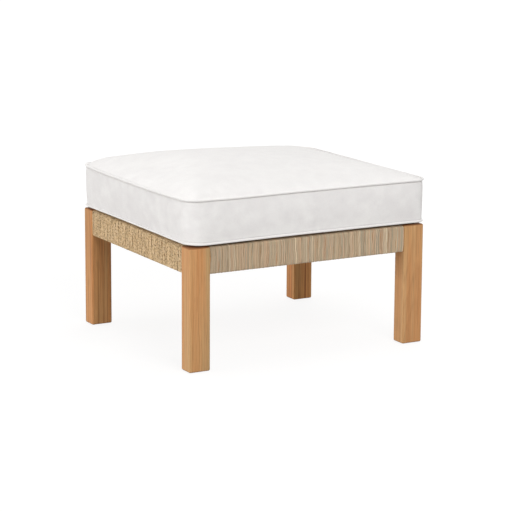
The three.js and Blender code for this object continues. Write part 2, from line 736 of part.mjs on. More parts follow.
// Deck
for (const [name, side] of [["left", -1], ["right", 1]]) {
  put(frame, `bearer_${name}`, bearerGeometry(), HIDDEN_TEAK, [side * bearerX, 0, bearerTop]);
}
for (let i = 0; i < slatCount; i++) {
  put(frame, `slat_${i + 1}`, slatGeometry(), TEAK, [0, slatY(i), SEAT_HEIGHT]);
  for (const [name, side] of [["left", -1], ["right", 1]]) {
    put(frame, `screw_${name}_${i + 1}`, screwGeometry(), STEEL, [side * bearerX, slatY(i), SEAT_HEIGHT]);
  }
}

// Cushion
put(cushion, "cushion_cover", coverGeometry(), FABRIC);
put(cushion, "cushion_fibre_wrap", fibreGeometry(), FIBRE);
put(cushion, "cushion_foam", foamGeometry(), FOAM);
const lowerWelt = weltGeometry(seamBaseX, LOWER_CORNER_RADIUS, lowerSeamZ - WELT_BESIDE_SEAM);
const upperWelt = weltGeometry(seamBaseX + TOP_FLARE, UPPER_CORNER_RADIUS, upperSeamZ + WELT_BESIDE_SEAM);
put(cushion, "welt_lower", lowerWelt, FABRIC);
put(cushion, "welt_upper", upperWelt, FABRIC);
put(cushion, "zip_chain", zipChainGeometry(), ZIP_PLASTIC, [0, zipTapeFace, zipZ]);
put(cushion, "zip_slider", zipSliderGeometry(), STEEL, [-sliderX, zipTapeFace, zipZ]);
put(cushion, "zip_pull", zipPullGeometry(), STEEL, [-sliderX, zipTapeFace + pullPinHeight, zipZ]);

export default footstool;
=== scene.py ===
"""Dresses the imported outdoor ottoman: teak frame, wound rails, slatted deck, box cushion and zip."""

import json
import logging
import math
import random
from dataclasses import dataclass, replace
from enum import Enum
from typing import Callable, Sequence

import bmesh
import bpy
import numpy as np
from mathutils import Matrix, Vector
from mathutils.kdtree import KDTree

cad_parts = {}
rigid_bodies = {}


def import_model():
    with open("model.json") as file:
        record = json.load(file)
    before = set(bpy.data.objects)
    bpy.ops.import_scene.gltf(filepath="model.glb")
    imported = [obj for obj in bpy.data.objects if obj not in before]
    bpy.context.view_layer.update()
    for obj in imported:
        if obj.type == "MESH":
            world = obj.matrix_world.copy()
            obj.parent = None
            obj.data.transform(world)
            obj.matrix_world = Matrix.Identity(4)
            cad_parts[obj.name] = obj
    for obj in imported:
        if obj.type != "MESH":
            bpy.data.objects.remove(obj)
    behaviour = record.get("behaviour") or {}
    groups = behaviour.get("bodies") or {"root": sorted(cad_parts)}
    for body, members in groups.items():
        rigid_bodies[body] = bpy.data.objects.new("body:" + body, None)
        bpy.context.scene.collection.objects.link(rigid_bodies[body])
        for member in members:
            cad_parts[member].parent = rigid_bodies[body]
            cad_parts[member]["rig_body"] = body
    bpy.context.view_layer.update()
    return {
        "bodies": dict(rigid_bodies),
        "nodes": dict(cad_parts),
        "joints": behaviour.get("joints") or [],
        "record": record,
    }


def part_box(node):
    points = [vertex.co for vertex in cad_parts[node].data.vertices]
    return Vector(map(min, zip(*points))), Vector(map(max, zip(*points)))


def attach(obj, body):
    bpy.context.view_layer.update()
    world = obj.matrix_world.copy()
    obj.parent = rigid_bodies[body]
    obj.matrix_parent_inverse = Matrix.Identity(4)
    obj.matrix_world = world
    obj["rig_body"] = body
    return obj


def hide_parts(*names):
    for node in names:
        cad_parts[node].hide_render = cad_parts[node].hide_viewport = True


LOG = logging.getLogger("ottoman")
MM = 0.001
WELD = 0.005 * MM
FLAT_ANGLE = math.radians(0.5)
SHARP_ANGLE = math.radians(40)
CREASE_ANGLE = math.radians(50)

Rgba = tuple[float, float, float, float]
Stops = tuple[tuple[float, float], ...]
Socket = bpy.types.NodeSocket
Tree = bpy.types.NodeTree
Material = bpy.types.Material
Look = dict[str, object]
Mesh = bpy.types.Mesh
Piece = bpy.types.Object


def tone(red: int, green: int, blue: int) -> Rgba:
    """Turns a colour as it is seen on a screen into the linear one that shaders use.

    Args:
        red: The red share, 0 to 255.
        green: The green share, 0 to 255.
        blue: The blue share, 0 to 255.

    Returns:
        The linear colour with full opacity.
    """
    shares = [c / 255 for c in (red, green, blue)]
    linear = [s / 12.92 if s <= 0.04045 else ((s + 0.055) / 1.055) ** 2.4 for s in shares]
    return (linear[0], linear[1], linear[2], 1.0)


def soft_step(low: float, high: float, value: np.ndarray) -> np.ndarray:
    """Returns shares that rise smoothly from 0, up to low, to 1, from high on."""
    t = np.clip((value - low) / (high - low), 0, 1)
    return t * t * (3 - 2 * t)


def wander(dice: np.random.Generator, places: np.ndarray, spacing: float) -> np.ndarray:
    """Makes a smooth random line between -1 and 1.

    Args:
        dice: The seeded random source.
        places: Where the line is read, in any unit, none below zero.
        spacing: How far apart its turning points lie, in the same unit.

    Returns:
        The line's height at each place.
    """
    knots = dice.uniform(-1, 1, int(places.max() / spacing) + 3)
    at = places / spacing
    first = at.astype(int)
    share = at - first
    share = share * share * (3 - 2 * share)
    return knots[first] * (1 - share) + knots[first + 1] * share


class Shader:
    """A material's node tree, with short calls for the nodes that the finishes share."""

    def __init__(self, name: str) -> None:
        """Starts a material with one principled surface.

        Args:
            name: The material's name.
        """
        self.material = bpy.data.materials.new(name)
        self.material.use_nodes = True
        self.tree = self.material.node_tree
        self.tree.nodes.clear()
        self.surface = self.new("BsdfPrincipled")
        self.output = self.new("OutputMaterial")
        self.tree.links.new(self.surface.outputs["BSDF"], self.output.inputs["Surface"])

    def new(self, kind: str) -> bpy.types.Node:
        """Adds a node of the kind that Blender names so, without its prefix."""
        return self.tree.nodes.new(f"ShaderNode{kind}")

    def feed(self, socket: Socket, value: object) -> None:
        """Links a socket to another one, or sets its own value.

        Args:
            socket: The input to feed.
            value: An output socket, or a plain value.
        """
        if isinstance(value, Socket):
            self.tree.links.new(value, socket)
        else:
            socket.default_value = value

    def set(self, **values: object) -> None:
        """Feeds sockets of the surface, each named with underscores for spaces.

        Args:
            **values: The socket's name in lower case, and what feeds it.
        """
        by_name = {s.name.lower().replace(" ", "_"): s for s in self.surface.inputs}
        for name, value in values.items():
            self.feed(by_name[name], value)

    def place(self) -> Socket:
        """Returns the place in the shared frame, in metres."""
        return self.new("TexCoord").outputs["Object"]

    def split(self, vector: Socket) -> Sequence[Socket]:
        """Splits a place or a direction.

        Args:
            vector: The place or the direction.

        Returns:
            Its three parts.
        """
        node = self.new("SeparateXYZ")
        self.feed(node.inputs[0], vector)
        return node.outputs

    def facing(self) -> Sequence[Socket]:
        """Returns the three parts of the direction that the surface faces."""
        return self.split(self.new("TexCoord").outputs["Normal"])

    def cord(self) -> Socket:
        """Reads a place on a cord.

        Returns:
            The place across and along it, in metres.
        """
        node = self.new("UVMap")
        node.uv_map = "cord"
        return node.outputs[0]

    def turned(self, grain: "Grain") -> Socket:
        """Returns the place with the board's length turned to Z.

        Args:
            grain: The direction that the fibres run in.

        Returns:
            The turned place.
        """
        parts = self.split(self.place())
        join = self.new("CombineXYZ")
        for i in range(3):
            self.feed(join.inputs[i], parts[(i + grain.value + 1) % 3])
        return join.outputs[0]

    def scaled(self, vector: Socket, scale: Sequence[float], shift: Sequence[float]) -> Socket:
        """Scales a place, then shifts it.

        Args:
            vector: The place.
            scale: The factor on each axis.
            shift: What is added on each axis.

        Returns:
            The new place.
        """
        node = self.new("Mapping")
        node.inputs["Scale"].default_value = scale
        node.inputs["Location"].default_value = shift
        self.feed(node.inputs["Vector"], vector)
        return node.outputs[0]

    def noise(self, vector: Socket, scale: float, detail: float = 2.0, colour: bool = False) -> Socket:
        """Adds a noise.

        Args:
            vector: Where it is read.
            scale: How many patches it has in a metre.
            detail: How much finer detail it holds.
            colour: Whether the coloured output is wanted.

        Returns:
            Its height, or its colour.
        """
        node = self.new("TexNoise")
        node.inputs["Scale"].default_value = scale
        node.inputs["Detail"].default_value = detail
        self.feed(node.inputs["Vector"], vector)
        return node.outputs["Color" if colour else "Fac"]

    def pattern(self, place: Socket, pattern: "Pattern") -> Socket:
        """Adds a stretched noise and returns its height."""
        return self.noise(self.scaled(place, pattern.scale, pattern.shift), 1.0, pattern.detail)

    def ramp(self, value: Socket, stops: Sequence[tuple[float, Rgba | float]]) -> Socket:
        """Turns a value into colours.

        Args:
            value: The value, from 0 to 1.
            stops: Places from 0 to 1, each with a colour or a grey level.

        Returns:
            The colour.
        """
        node = self.new("ValToRGB")
        elements = node.color_ramp.elements
        while len(elements) < len(stops):
            elements.new(1.0)
        for element, (at, colour) in zip(elements, stops):
            element.position = at
            element.color = colour if isinstance(colour, tuple) else (colour, colour, colour, 1.0)
        self.feed(node.inputs["Fac"], value)
        return node.outputs["Color"]

    def rise(self, value: Socket, low: float, high: float, start: float = 0.0, end: float = 1.0) -> Socket:
        """Turns a value into a grey level that goes from start, up to low, to end, from high on."""
        return self.ramp(value, [(low, start), (high, end)])

    def mix(self, share: object, first: object, second: object, mode: str = "MIX") -> Socket:
        """Mixes two colours.

        Args:
            share: How much of the second.
            first: The first colour.
            second: The second colour.
            mode: How they are joined.

        Returns:
            The mixed colour.
        """
        node = self.new("Mix")
        node.data_type = "RGBA"
        node.blend_type = mode
        self.feed(node.inputs[0], share)
        self.feed(node.inputs[6], first)
        self.feed(node.inputs[7], second)
        return node.outputs[2]

    def times(self, colour: object, factor: object) -> Socket:
        """Multiplies a colour by another one."""
        return self.mix(1.0, colour, factor, "MULTIPLY")

    def joined(self, kind: str, operation: str, values: Sequence[object]) -> bpy.types.Node:
        """Adds a node that works its inputs out in one operation.

        Args:
            kind: Blender's name for the node, without its prefix.
            operation: Blender's name for the operation.
            values: What goes in.

        Returns:
            The node.
        """
        node = self.new(kind)
        node.operation = operation
        for socket, value in zip(node.inputs, values):
            self.feed(socket, value)
        return node

    def math(self, operation: str, *values: object) -> Socket:
        """Adds a sum or another plain operation, by Blender's name for it, and returns its result."""
        return self.joined("Math", operation, values).outputs[0]

    def vector_math(self, operation: str, *values: object) -> bpy.types.Node:
        """Adds an operation on places or directions, and returns its node, for its Vector or its Value."""
        return self.joined("VectorMath", operation, values)

    def attribute(self, name: str) -> Socket:
        """Reads a value that the mesh carries.

        Args:
            name: The value's name.

        Returns:
            The value.
        """
        node = self.new("Attribute")
        node.attribute_name = name
        return node.outputs["Fac"]

    def edge(self, radius: float) -> Socket:
        """Finds the edges of a piece.

        Args:
            radius: How far an edge reaches, in metres.

        Returns:
            0 on a flat face, rising towards an edge.
        """
        rounded = self.new("Bevel")
        rounded.samples = 4
        rounded.inputs["Radius"].default_value = radius
        plain = self.new("NewGeometry")
        turn = self.vector_math("DOT_PRODUCT", rounded.outputs["Normal"], plain.outputs["Normal"])
        return self.math("SUBTRACT", 1.0, turn.outputs["Value"])

    def relief(self, height: Socket, depth: float, strength: float) -> Socket:
        """Turns a height into a bumpy normal.

        Args:
            height: The height, about 0 to 1.
            depth: What 1 stands for, in metres.
            strength: How strongly it shows.

        Returns:
            The normal.
        """
        node = self.new("Bump")
        node.inputs["Strength"].default_value = strength
        node.inputs["Distance"].default_value = depth
        self.feed(node.inputs["Height"], height)
        return node.outputs[0]


@dataclass(frozen=True)
class Pattern:
    """A stretched noise: its patches in a metre on each axis, where it is read, and its finer detail."""

    scale: tuple[float, float, float]
    shift: tuple[float, float, float] = (0.0, 0.0, 0.0)
    detail: float = 2.0


class Grain(Enum):
    """The direction that a board's fibres run in."""

    ALONG_X = 0
    ALONG_Y = 1
    ALONG_Z = 2


@dataclass(frozen=True)
class Finish:
    """What every finish shares: its name, and how its material is made."""

    name: str

    def material(self) -> Material:
        """Makes the material.

        Returns:
            The material, ready for any number of pieces.
        """
        s = Shader(self.name)
        s.set(**self.look(s))
        return s.material

    def look(self, s: Shader) -> Look:
        """Works out what feeds the surface, by each socket's name; every finish has its own."""
        raise NotImplementedError


@dataclass(frozen=True)
class Teak(Finish):
    """Sanded teak with growth rings round a pith, streaks, pores, darker edges and darker end grain."""

    grain: Grain
    pith: tuple[float, float] = (0.0, 0.0)
    lean: tuple[float, float] = (0.0, 0.0)
    seed: float = 0.0
    ring_spacing: float = 6.2 * MM
    ring_depth: float = 0.4
    streak_depth: float = 0.3
    olive_share: float = 0.6
    ruddy_share: float = 0.55
    sapwood: float = 1.0
    sapwood_share: float = 0.75
    end_depth: float = 0.85
    worn_reach: float = 3 * MM
    worn_depth: float = 0.3
    drift_scale: float = 9.0
    drift_stretch: float = 0.22
    drift_reach: float = 22 * MM
    relief_depth: float = 0.25 * MM
    uneven: Pattern = Pattern((60, 60, 1.2))
    streaks: Pattern = Pattern((150, 150, 2.2), detail=3)
    broad: Pattern = Pattern((24, 24, 1.2), (3, 1, 2), 1)
    pores: Pattern = Pattern((900, 900, 22), (1, 5, 0), 1)
    dark: Pattern = Pattern((230, 230, 3.4), (6, 2, 4))
    ring_tones: Stops = ((0.0, 0.25), (0.12, 0.0), (0.6, 0.3), (0.88, 1.0), (1.0, 0.35))
    pore_tones: Stops = ((0.3, 0.74), (0.46, 1.0), (0.8, 1.05))
    pale: Rgba = tone(215, 168, 115)
    warm: Rgba = tone(196, 137, 82)
    deep: Rgba = tone(142, 88, 46)
    olive: Rgba = tone(180, 157, 112)
    ruddy: Rgba = tone(204, 136, 82)
    tint: Rgba = (1.0, 1.0, 1.0, 1.0)

    def look(self, s: Shader) -> Look:
        """Works out what feeds the surface.

        Args:
            s: The material's shader.

        Returns:
            What feeds each socket, by the socket's name.
        """
        shift = (self.seed, -self.seed, self.seed * 3)
        place = s.scaled(s.turned(self.grain), (1, 1, 1), shift)
        drifted = self.drifted(s, place)
        radius = self.from_pith(s, drifted, shift)
        late = s.ramp(s.math("FRACT", s.math("DIVIDE", radius, self.ring_spacing)), self.ring_tones)
        rings = s.math("MULTIPLY", late, s.rise(s.pattern(drifted, self.uneven), 0.3, 0.7, 0.25))
        streaks, broad, pores, dark = (
            s.pattern(place, pattern) for pattern in (self.streaks, self.broad, self.pores, self.dark)
        )
        beyond = s.math("MULTIPLY", s.math("SUBTRACT", radius, self.sapwood), 60)
        end = s.rise(s.math("ABSOLUTE", s.facing()[self.grain.value]), 0.2, 0.7, 0.0, self.end_depth)
        colour = s.mix(s.rise(streaks, 0.3, 0.72), self.warm, self.pale)
        for share, other in (
            (s.math("MULTIPLY", s.rise(broad, 0.52, 0.66), self.olive_share), self.olive),
            (s.rise(beyond, 0.0, 1.0, 0.0, self.sapwood_share), self.olive),
            (s.math("MULTIPLY", s.rise(broad, 0.34, 0.48, 1.0, 0.0), self.ruddy_share), self.ruddy),
            (s.math("MULTIPLY", rings, self.ring_depth), self.deep),
            (s.math("MULTIPLY", s.rise(dark, 0.34, 0.5, 1.0, 0.0), self.streak_depth), self.deep),
        ):
            colour = s.mix(share, colour, other)
        colour = s.mix(0.8, colour, s.ramp(pores, self.pore_tones), "MULTIPLY")
        # The edges are darkened towards the deep tone.
        edge_share = s.math("MULTIPLY", s.rise(s.edge(self.worn_reach), 0.02, 0.25), self.worn_depth)
        colour = s.mix(end, s.mix(edge_share, colour, self.deep), self.deep)
        height = s.math("ADD", s.math("MULTIPLY", pores, 0.7), s.math("MULTIPLY", rings, 0.3))
        return dict(
            base_color=s.times(colour, self.tint),
            roughness=s.rise(streaks, 0.2, 0.8, 0.52, 0.66),
            specular_ior_level=0.35,
            normal=s.relief(height, self.relief_depth, 0.5),
        )

    def drifted(self, s: Shader, place: Socket) -> Socket:
        """Makes the rings wavy with a slow sideways drift.

        Args:
            s: The shader.
            place: The place along the board.

        Returns:
            The drifted place.
        """
        stretched = s.scaled(place, (1, 1, self.drift_stretch), (0, 0, 0))
        drift = s.noise(stretched, self.drift_scale, 2, colour=True)
        drift = s.vector_math("SUBTRACT", drift, (0.5, 0.5, 0.5)).outputs[0]
        drift = s.vector_math("MULTIPLY", drift, (self.drift_reach, self.drift_reach, 0)).outputs[0]
        return s.vector_math("ADD", place, drift).outputs[0]

    def from_pith(self, s: Shader, place: Socket, shift: Sequence[float]) -> Socket:
        """Returns the distance from the pith, which leans along the board.

        Args:
            s: The shader.
            place: The drifted place.
            shift: What was added to the place on each axis.

        Returns:
            The distance, in metres.
        """
        parts = s.split(place)
        squares = []
        for i in range(2):
            at_start = self.pith[i] + shift[i] - self.lean[i] * shift[2]
            across = s.math("SUBTRACT", parts[i], s.math("MULTIPLY_ADD", parts[2], self.lean[i], at_start))
            squares.append(s.math("MULTIPLY", across, across))
        return s.math("SQRT", s.math("ADD", *squares))


@dataclass(frozen=True)
class SmoothCord(Finish):
    """Smooth outdoor strands in mixed greys and tans, each with its own tone."""

    grey: Rgba = tone(191, 179, 156)
    tan: Rgba = tone(205, 183, 152)
    rose: Rgba = tone(208, 177, 146)
    cream: Rgba = tone(226, 212, 185)
    fibres: Pattern = Pattern((1800, 26, 1))
    blotch: Pattern = Pattern((160, 22, 1), (4, 0, 0))
    lights: Stops = ((0.0, 0.78), (0.4, 0.97), (0.8, 1.08), (1.0, 1.24))

    def look(self, s: Shader) -> Look:
        """Works out what feeds the surface.

        Args:
            s: The material's shader.

        Returns:
            What feeds each socket, by the socket's name.
        """
        fibres, blotch = (s.pattern(s.cord(), pattern) for pattern in (self.fibres, self.blotch))
        hues = [(0.08, self.grey), (0.4, self.tan), (0.7, self.rose), (0.93, self.cream)]
        colour = s.times(s.ramp(s.attribute("hue"), hues), s.ramp(s.attribute("light"), self.lights))
        colour = s.times(colour, s.rise(fibres, 0.25, 0.75, 0.82, 1.12))
        return dict(
            base_color=s.times(colour, s.rise(blotch, 0.3, 0.7, 0.93, 1.06)),
            roughness=s.rise(blotch, 0.2, 0.8, 0.5, 0.7),
            specular_ior_level=0.3,
            normal=s.relief(fibres, 0.2 * MM, 0.6),
        )


@dataclass(frozen=True)
class TwistedCord(Finish):
    """Crinkled straw-coloured plies flecked with brown, with a painted highlight on their crests and painted
    shade in the valleys between them.
    """

    straw: Rgba = tone(217, 186, 142)
    crest: Rgba = tone(238, 212, 174)
    # Painted shade in the valleys between the plies; the crinkle's dark marks use it too.
    shade: Rgba = tone(152, 121, 84)
    fleck: Rgba = tone(118, 88, 54)
    crinkle: Pattern = Pattern((1400, 420, 1), detail=3)
    patch: Pattern = Pattern((90, 60, 1), (2, 3, 0))
    flecks: Pattern = Pattern((520, 210, 1), (7, 1, 0), 1)

    def look(self, s: Shader) -> Look:
        """Works out what feeds the surface.

        Args:
            s: The material's shader.

        Returns:
            What feeds each socket, by the socket's name.
        """
        crinkle, patch, flecks = (s.pattern(s.cord(), p) for p in (self.crinkle, self.patch, self.flecks))
        # Painted highlight and shade: paler on each ply's crest, darker towards the valleys.
        colour = s.mix(s.attribute("crest"), self.shade, self.straw)
        for share, other in (
            (s.rise(patch, 0.45, 0.75, 0.0, 0.8), self.crest),
            (s.rise(crinkle, 0.28, 0.42, 0.7, 0.0), self.shade),
            (s.rise(flecks, 0.34, 0.4, 0.85, 0.0), self.fleck),
        ):
            colour = s.mix(share, colour, other)
        return dict(
            base_color=s.times(colour, s.rise(s.attribute("light"), 0.0, 1.0, 0.8, 1.14)),
            roughness=s.rise(crinkle, 0.2, 0.8, 0.62, 0.8),
            specular_ior_level=0.25,
            normal=s.relief(crinkle, 0.5 * MM, 0.8),
        )


@dataclass(frozen=True)
class Woven(Finish):
    """Plain-woven outdoor fabric, with threads both ways, mottling that is faded on level faces so that the
    top is painted lighter than the sides, and painted shadow beside the welts.
    """

    colour: Rgba
    shade: Rgba
    thread: float = 0.9 * MM
    depth: float = 0.12 * MM
    bias: bool = False
    sheen: float = 0.08
    # Painted shadow beside the welts: the grey that the fabric darkens towards there, and how far.
    soiled: Rgba = tone(150, 143, 136)
    soiled_share: float = 0.5
    slub_scale: float = 420.0
    mottle_scale: float = 34.0
    cloud_scale: float = 12.0

    def look(self, s: Shader) -> Look:
        """Works out what feeds the surface.

        Args:
            s: The material's shader.

        Returns:
            What feeds each socket, by the socket's name.
        """
        place = s.place()
        if self.bias:
            turn = s.new("Mapping")
            turn.inputs["Rotation"].default_value = [math.radians(45)] * 3
            s.feed(turn.inputs["Vector"], place)
            place = turn.outputs[0]
        facing = [s.math("ABSOLUTE", part) for part in s.facing()]
        slub = s.noise(place, self.slub_scale, 2)
        weave = self.weave(s, s.split(place), facing)
        # Painted light: the mottling darkens the sides fully but the level top only in part, so the top is
        # painted lighter.
        level = s.rise(facing[2], 0.5, 0.92, 1.0, 0.4)
        mottle, cloud = s.noise(place, self.mottle_scale, 3), s.noise(place, self.cloud_scale, 1)
        mottled = s.math("MULTIPLY", s.rise(mottle, 0.35, 0.75, 0.0, 0.85), level)
        clouded = s.math("MULTIPLY", s.rise(cloud, 0.4, 0.7, 0.0, 0.5), level)
        colour = s.mix(clouded, s.mix(mottled, self.colour, self.shade), self.shade)
        colour = s.mix(0.5, colour, s.rise(weave, 0.15, 0.6, 0.9, 1.0), "MULTIPLY")
        colour = s.mix(0.5, colour, s.rise(slub, 0.25, 0.6, 0.93, 1.0), "MULTIPLY")
        return dict(
            # Painted shadow: beside the welts the colour is darkened by the cover's seam value.
            base_color=s.mix(s.math("MULTIPLY", s.attribute("seam"), self.soiled_share), colour, self.soiled),
            roughness=s.rise(slub, 0.2, 0.8, 0.86, 0.96),
            specular_ior_level=0.2,
            sheen_weight=self.sheen,
            normal=s.relief(s.math("ADD", weave, s.math("MULTIPLY", slub, 0.5)), self.depth, 0.5),
        )

    def weave(self, s: Shader, parts: Sequence[Socket], facing: Sequence[Socket]) -> Socket:
        """Returns the threads' height: waves along the two directions that lie in the surface.

        Args:
            s: The shader.
            parts: The place's three parts.
            facing: How far the surface faces each direction.

        Returns:
            The height, about 0 to 1.
        """
        waves = []
        for part, faced in zip(parts, facing):
            wave = s.math("SINE", s.math("MULTIPLY", part, 2 * math.pi / self.thread))
            waves.append(s.math("MULTIPLY", wave, s.rise(faced, 0.55, 0.85, 1.0, 0.0)))
        crossed = s.math("ADD", s.math("ADD", waves[0], waves[1]), waves[2])
        return s.math("MULTIPLY_ADD", crossed, 0.2, 0.5)


@dataclass(frozen=True)
class Hard(Finish):
    """A hard finish: patches and edges where it is scuffed, and a fine skin."""

    colour: Rgba
    scuffed: Rgba
    roughness: float

    def scuff(
        self, s: Shader, patch: Socket, patches: tuple[float, float], reach: float, edge_share: float
    ) -> Socket:
        """Scuffs the colour at edges, and in patches with a given start in a noise and a given strength."""
        colour = s.mix(s.rise(patch, patches[0], 0.8, 0.0, patches[1]), self.colour, self.scuffed)
        return s.mix(s.rise(s.edge(reach), 0.05, 0.4, 0.0, edge_share), colour, self.scuffed)


@dataclass(frozen=True)
class Moulded(Hard):
    """Moulded plastic with a fine spark-eroded skin and scuffed edges."""

    roughness: float = 0.5
    skin_scale: float = 2600.0
    patch_scale: float = 90.0

    def look(self, s: Shader) -> Look:
        """Works out what feeds the surface.

        Args:
            s: The material's shader.

        Returns:
            What feeds each socket, by the socket's name.
        """
        skin, patch = (s.noise(s.place(), scale, 2) for scale in (self.skin_scale, self.patch_scale))
        return dict(
            base_color=self.scuff(s, patch, (0.35, 0.35), 0.8 * MM, 0.6),
            roughness=s.rise(patch, 0.2, 0.8, self.roughness - 0.08, self.roughness + 0.12),
            normal=s.relief(skin, 0.05 * MM, 0.5),
        )


@dataclass(frozen=True)
class Metal(Hard):
    """Brushed or cast metal with rubbed edges."""

    roughness: float = 0.35
    brushed: Pattern = Pattern((3000, 300, 3000))
    patch_scale: float = 140.0

    def look(self, s: Shader) -> Look:
        """Works out what feeds the surface.

        Args:
            s: The material's shader.

        Returns:
            What feeds each socket, by the socket's name.
        """
        brushed = s.pattern(s.place(), self.brushed)
        patch = s.noise(s.place(), self.patch_scale, 2)
        return dict(
            base_color=self.scuff(s, patch, (0.3, 0.4), 0.5 * MM, 0.8),
            metallic=1.0,
            roughness=s.rise(brushed, 0.2, 0.8, self.roughness - 0.08, self.roughness + 0.14),
            normal=s.relief(brushed, 0.03 * MM, 0.4),
        )


@dataclass(frozen=True)
class Foam(Finish):
    """Open-celled foam with fine pores."""

    colour: Rgba = tone(238, 226, 190)
    cell: Rgba = tone(196, 178, 132)
    cell_scale: float = 620.0
    patch_scale: float = 30.0

    def look(self, s: Shader) -> Look:
        """Works out what feeds the surface.

        Args:
            s: The material's shader.

        Returns:
            What feeds each socket, by the socket's name.
        """
        cells = s.new("TexVoronoi")
        cells.inputs["Scale"].default_value = self.cell_scale
        s.feed(cells.inputs["Vector"], s.place())
        patch = s.noise(s.place(), self.patch_scale, 2)
        colour = s.mix(s.rise(cells.outputs["Distance"], 0.1, 0.6, 0.0, 0.8), self.cell, self.colour)
        colour = s.mix(s.rise(patch, 0.3, 0.8, 0.0, 0.3), colour, self.cell)
        return dict(
            base_color=colour,
            roughness=s.rise(patch, 0.2, 0.8, 0.9, 1.0),
            normal=s.relief(cells.outputs["Distance"], 0.6 * MM, 0.8),
        )


@dataclass(frozen=True)
class Fibre(Finish):
    """White bonded polyester wadding."""

    colour: Rgba = tone(244, 244, 242)
    shade: Rgba = tone(214, 214, 210)
    fluff_scale: float = 260.0
    lump_scale: float = 34.0

    def look(self, s: Shader) -> Look:
        """Works out what feeds the surface.

        Args:
            s: The material's shader.

        Returns:
            What feeds each socket, by the socket's name.
        """
        fluff = s.noise(s.place(), self.fluff_scale, 6)
        lumps = s.noise(s.place(), self.lump_scale, 3)
        return dict(
            base_color=s.mix(s.rise(fluff, 0.3, 0.7), self.shade, self.colour),
            roughness=s.rise(fluff, 0.2, 0.8, 0.9, 1.0),
            sheen_weight=0.3,
            normal=s.relief(s.math("ADD", fluff, lumps), 1.5 * MM, 0.7),
        )


def net(rows: int, columns: int, closed: bool = False) -> np.ndarray:
    """Joins rows of corners, each a ring, into faces.

    Args:
        rows: How many rings there are.
        columns: How many corners each has.
        closed: Whether the last ring joins the first.

    Returns:
        The faces' corner numbers, four in a row.
    """
    ring = np.arange(rows if closed else rows - 1)[:, None]
    here, following = ring * columns, (ring + 1) % rows * columns
    j = np.arange(columns)[None, :]
    k = (j + 1) % columns
    return np.stack([here + j, following + j, following + k, here + k], axis=2).reshape(-1, 4)


def new_piece(name: str, points: np.ndarray, faces: Sequence[Sequence[int]], material: Material) -> Piece:
    """Makes a smooth-shaded mesh object in the shared frame.

    Args:
        name: The piece's name.
        points: Its corners in metres, one in a row.
        faces: The corners of each face.
        material: Its finish.

    Returns:
        The object, linked to the scene.
    """
    mesh = bpy.data.meshes.new(name)
    mesh.from_pydata([tuple(p) for p in points], [], [tuple(int(i) for i in f) for f in faces])
    mesh.validate()
    mesh.shade_smooth()
    mesh.materials.append(material)
    return placed(name, mesh)


def middle_of(node: str) -> Vector:
    """Returns the middle of a CAD node's box."""
    low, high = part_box(node)
    return (low + high) / 2


def placed(name: str, data: bpy.types.ID) -> Piece:
    """Puts a mesh, a lamp or a camera into the scene as a new object.

    Args:
        name: The object's name.
        data: What it shows.

    Returns:
        The object.
    """
    made = bpy.data.objects.new(name, data)
    bpy.context.scene.collection.objects.link(made)
    return made


def carry(mesh: Mesh, name: str, values: np.ndarray) -> None:
    """Stores one value for each corner of a mesh, under the name that the finish reads it by."""
    layer = mesh.attributes.new(name, "FLOAT", "POINT")
    layer.data.foreach_set("value", values.astype(np.float32))


def corners_of(mesh: Mesh, reading: str = "co") -> np.ndarray:
    """Reads where a mesh's corners are, or another reading of theirs.

    Args:
        mesh: The mesh.
        reading: Blender's name for what is read.

    Returns:
        One row for each corner.
    """
    flat = np.zeros(len(mesh.vertices) * 3, np.float32)
    mesh.vertices.foreach_get(reading, flat)
    return flat.reshape(-1, 3).astype(float)


def move_corners(mesh: Mesh, points: np.ndarray) -> None:
    """Puts a mesh's corners at new places."""
    mesh.vertices.foreach_set("co", points.astype(np.float32).ravel())
    mesh.update()


